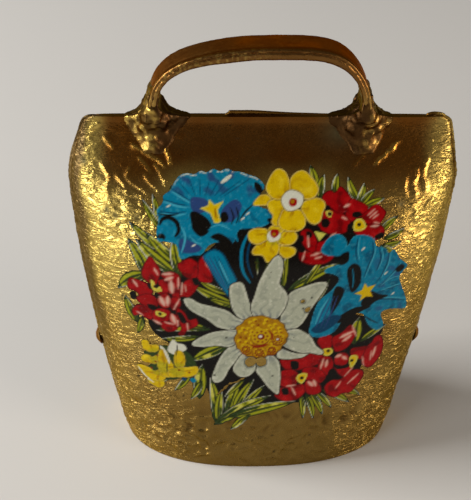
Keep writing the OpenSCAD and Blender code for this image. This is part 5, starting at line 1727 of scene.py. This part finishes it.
def rod_solid(x, y, z):
    ring = np.hypot(np.hypot(x, z - EYE_Z) - EYE_R, y) - EYE_D / 2 + WORN
    low, high = BALL_Z + BALL_D / 2 - ROD_SEAT, EYE_Z - EYE_R
    rod = np.maximum(np.hypot(x, y) - ROD_D / 2 + WORN, np.abs(z - (low + high) / 2) - (high - low) / 2)
    joined = blend_union(ring, rod, 1.4)
    bare = EYE_IN_D / 2 + 0.02 - np.hypot(x, z - EYE_Z)
    return np.where(z > EYE_Z - 1, ring, np.maximum(joined, bare))


def ball_solid(x, y, z):
    ball = np.sqrt(x * x + y * y + (z - BALL_Z) ** 2) - BALL_D / 2 + 0.1
    flash = -0.09 * np.exp(-(x / 0.35) ** 2)
    return blend_union(ball + flash, np.maximum(np.hypot(x, y) - ROD_D / 2 - 0.9,
                                                np.abs(z - BALL_Z - 3.4) - 3.6), 0.8)


def make_clapper():
    drop = BODY_H - STAPLE_END
    pieces = [
        ("clapper_staple", "_wire", staple_solid, (-8, -2, BAR_Z - 2), (8, 2, drop + 1), 0.22, "bell"),
        ("clapper_link", "_wire", link_solid, (-2, -5, LINK_LOW - 3), (2, 5, LINK_TOP + 3), 0.2,
         "link"),
        ("clapper_rod", "_worn", rod_solid, (-4.5, -2.5, BALL_Z - 4), (4.5, 2.5, EYE_Z + 4.5), 0.24,
         "clapper"),
        ("clapper_ball", "_cast", ball_solid, (-8, -8, BALL_LIFT - 1), (8, 8, BALL_Z + 8.6), 0.3,
         "clapper"),
    ]
    for number, (node, suffix, solid, low, high, cell, body) in enumerate(pieces):
        points, faces, normals = surface_net(solid, low, high, cell)
        pits = -0.05 * ridges(points / 1.9, 151 + number) * (node == "clapper_ball")
        points = points + normals * (pits + 0 * points[:, 0])[:, None]
        add_piece(node + suffix, points, faces, [STEEL], body, [node])


make_clapper()


# ---------------------------------------------------------------- CAD pieces that stay

for node in ("ridge_braze", "staple_braze_left", "staple_braze_right"):
    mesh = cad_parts[node].data
    mesh.materials.clear()
    mesh.materials.append(BRAZE)


# ---------------------------------------------------------------- camera, floor and light

def make_camera():
    """Looks at the bell's middle from the front, a little to its left and well above."""
    target = Vector((0, 0, 48)) * MM
    elevation, azimuth, roll, distance = math.radians(35.8), math.radians(-3.9), 1.93, 304 * MM
    away = Vector((math.sin(azimuth) * math.cos(elevation),
                   -math.cos(azimuth) * math.cos(elevation), math.sin(elevation)))
    data = bpy.data.cameras.new("camera")
    data.lens = 83.16
    data.sensor_width = 36
    data.shift_x, data.shift_y = -0.0496, 0.0486
    camera = bpy.data.objects.new("camera", data)
    turn = (-away).to_track_quat("-Z", "Y") @ Matrix.Rotation(math.radians(roll), 4, "Z").to_quaternion()
    camera.location = target + away * distance
    camera.rotation_mode = "QUATERNION"
    camera.rotation_quaternion = turn
    bpy.context.scene.collection.objects.link(camera)
    bpy.context.scene.camera = camera


def make_floor():
    size = 3.0
    mesh = bpy.data.meshes.new("floor")
    corners = [(-size, -size, 0), (size, -size, 0), (size, size, 0), (-size, size, 0)]
    mesh.from_pydata(corners, [], [(0, 1, 2, 3)])
    f = Finish("floor_pale")
    f.set(Base_Color=(*srgb(205, 203, 199), 1.0), Roughness=0.9)
    mesh.materials.append(f.material)
    floor = bpy.data.objects.new("floor", mesh)
    bpy.context.scene.collection.objects.link(floor)


def add_light(name, place, aim, size, power, colour):
    data = bpy.data.lights.new(name, "AREA")
    data.shape = "RECTANGLE"
    data.size, data.size_y = size[0] * MM, size[1] * MM
    data.energy = power
    data.color = colour
    lamp = bpy.data.objects.new(name, data)
    lamp.location = Vector(place) * MM
    lamp.rotation_mode = "QUATERNION"
    lamp.rotation_quaternion = (Vector(aim) * MM - lamp.location).to_track_quat("-Z", "Y")
    bpy.context.scene.collection.objects.link(lamp)


def make_light():
    add_light("key_left", (-1000, 60, 825), (0, 0, 50), (585, 585), 16.6, (1, 0.99, 0.97))
    add_light("side_left", (-1050, -840, 300), (0, 0, 60), (675, 435), 9.6, (1, 0.99, 0.96))
    add_light("side_right", (640, -390, 150), (0, 0, 60), (300, 260), 3.3, (1, 0.88, 0.74))
    world = bpy.data.worlds.new("studio")
    world.use_nodes = True
    bpy.context.scene.world = world
    back = world.node_tree.nodes["Background"]
    back.inputs["Color"].default_value = (*srgb(178, 172, 168), 1.0)
    back.inputs["Strength"].default_value = 0.35


make_camera()
make_floor()
make_light()
bpy.context.scene.view_settings.view_transform = "Standard"
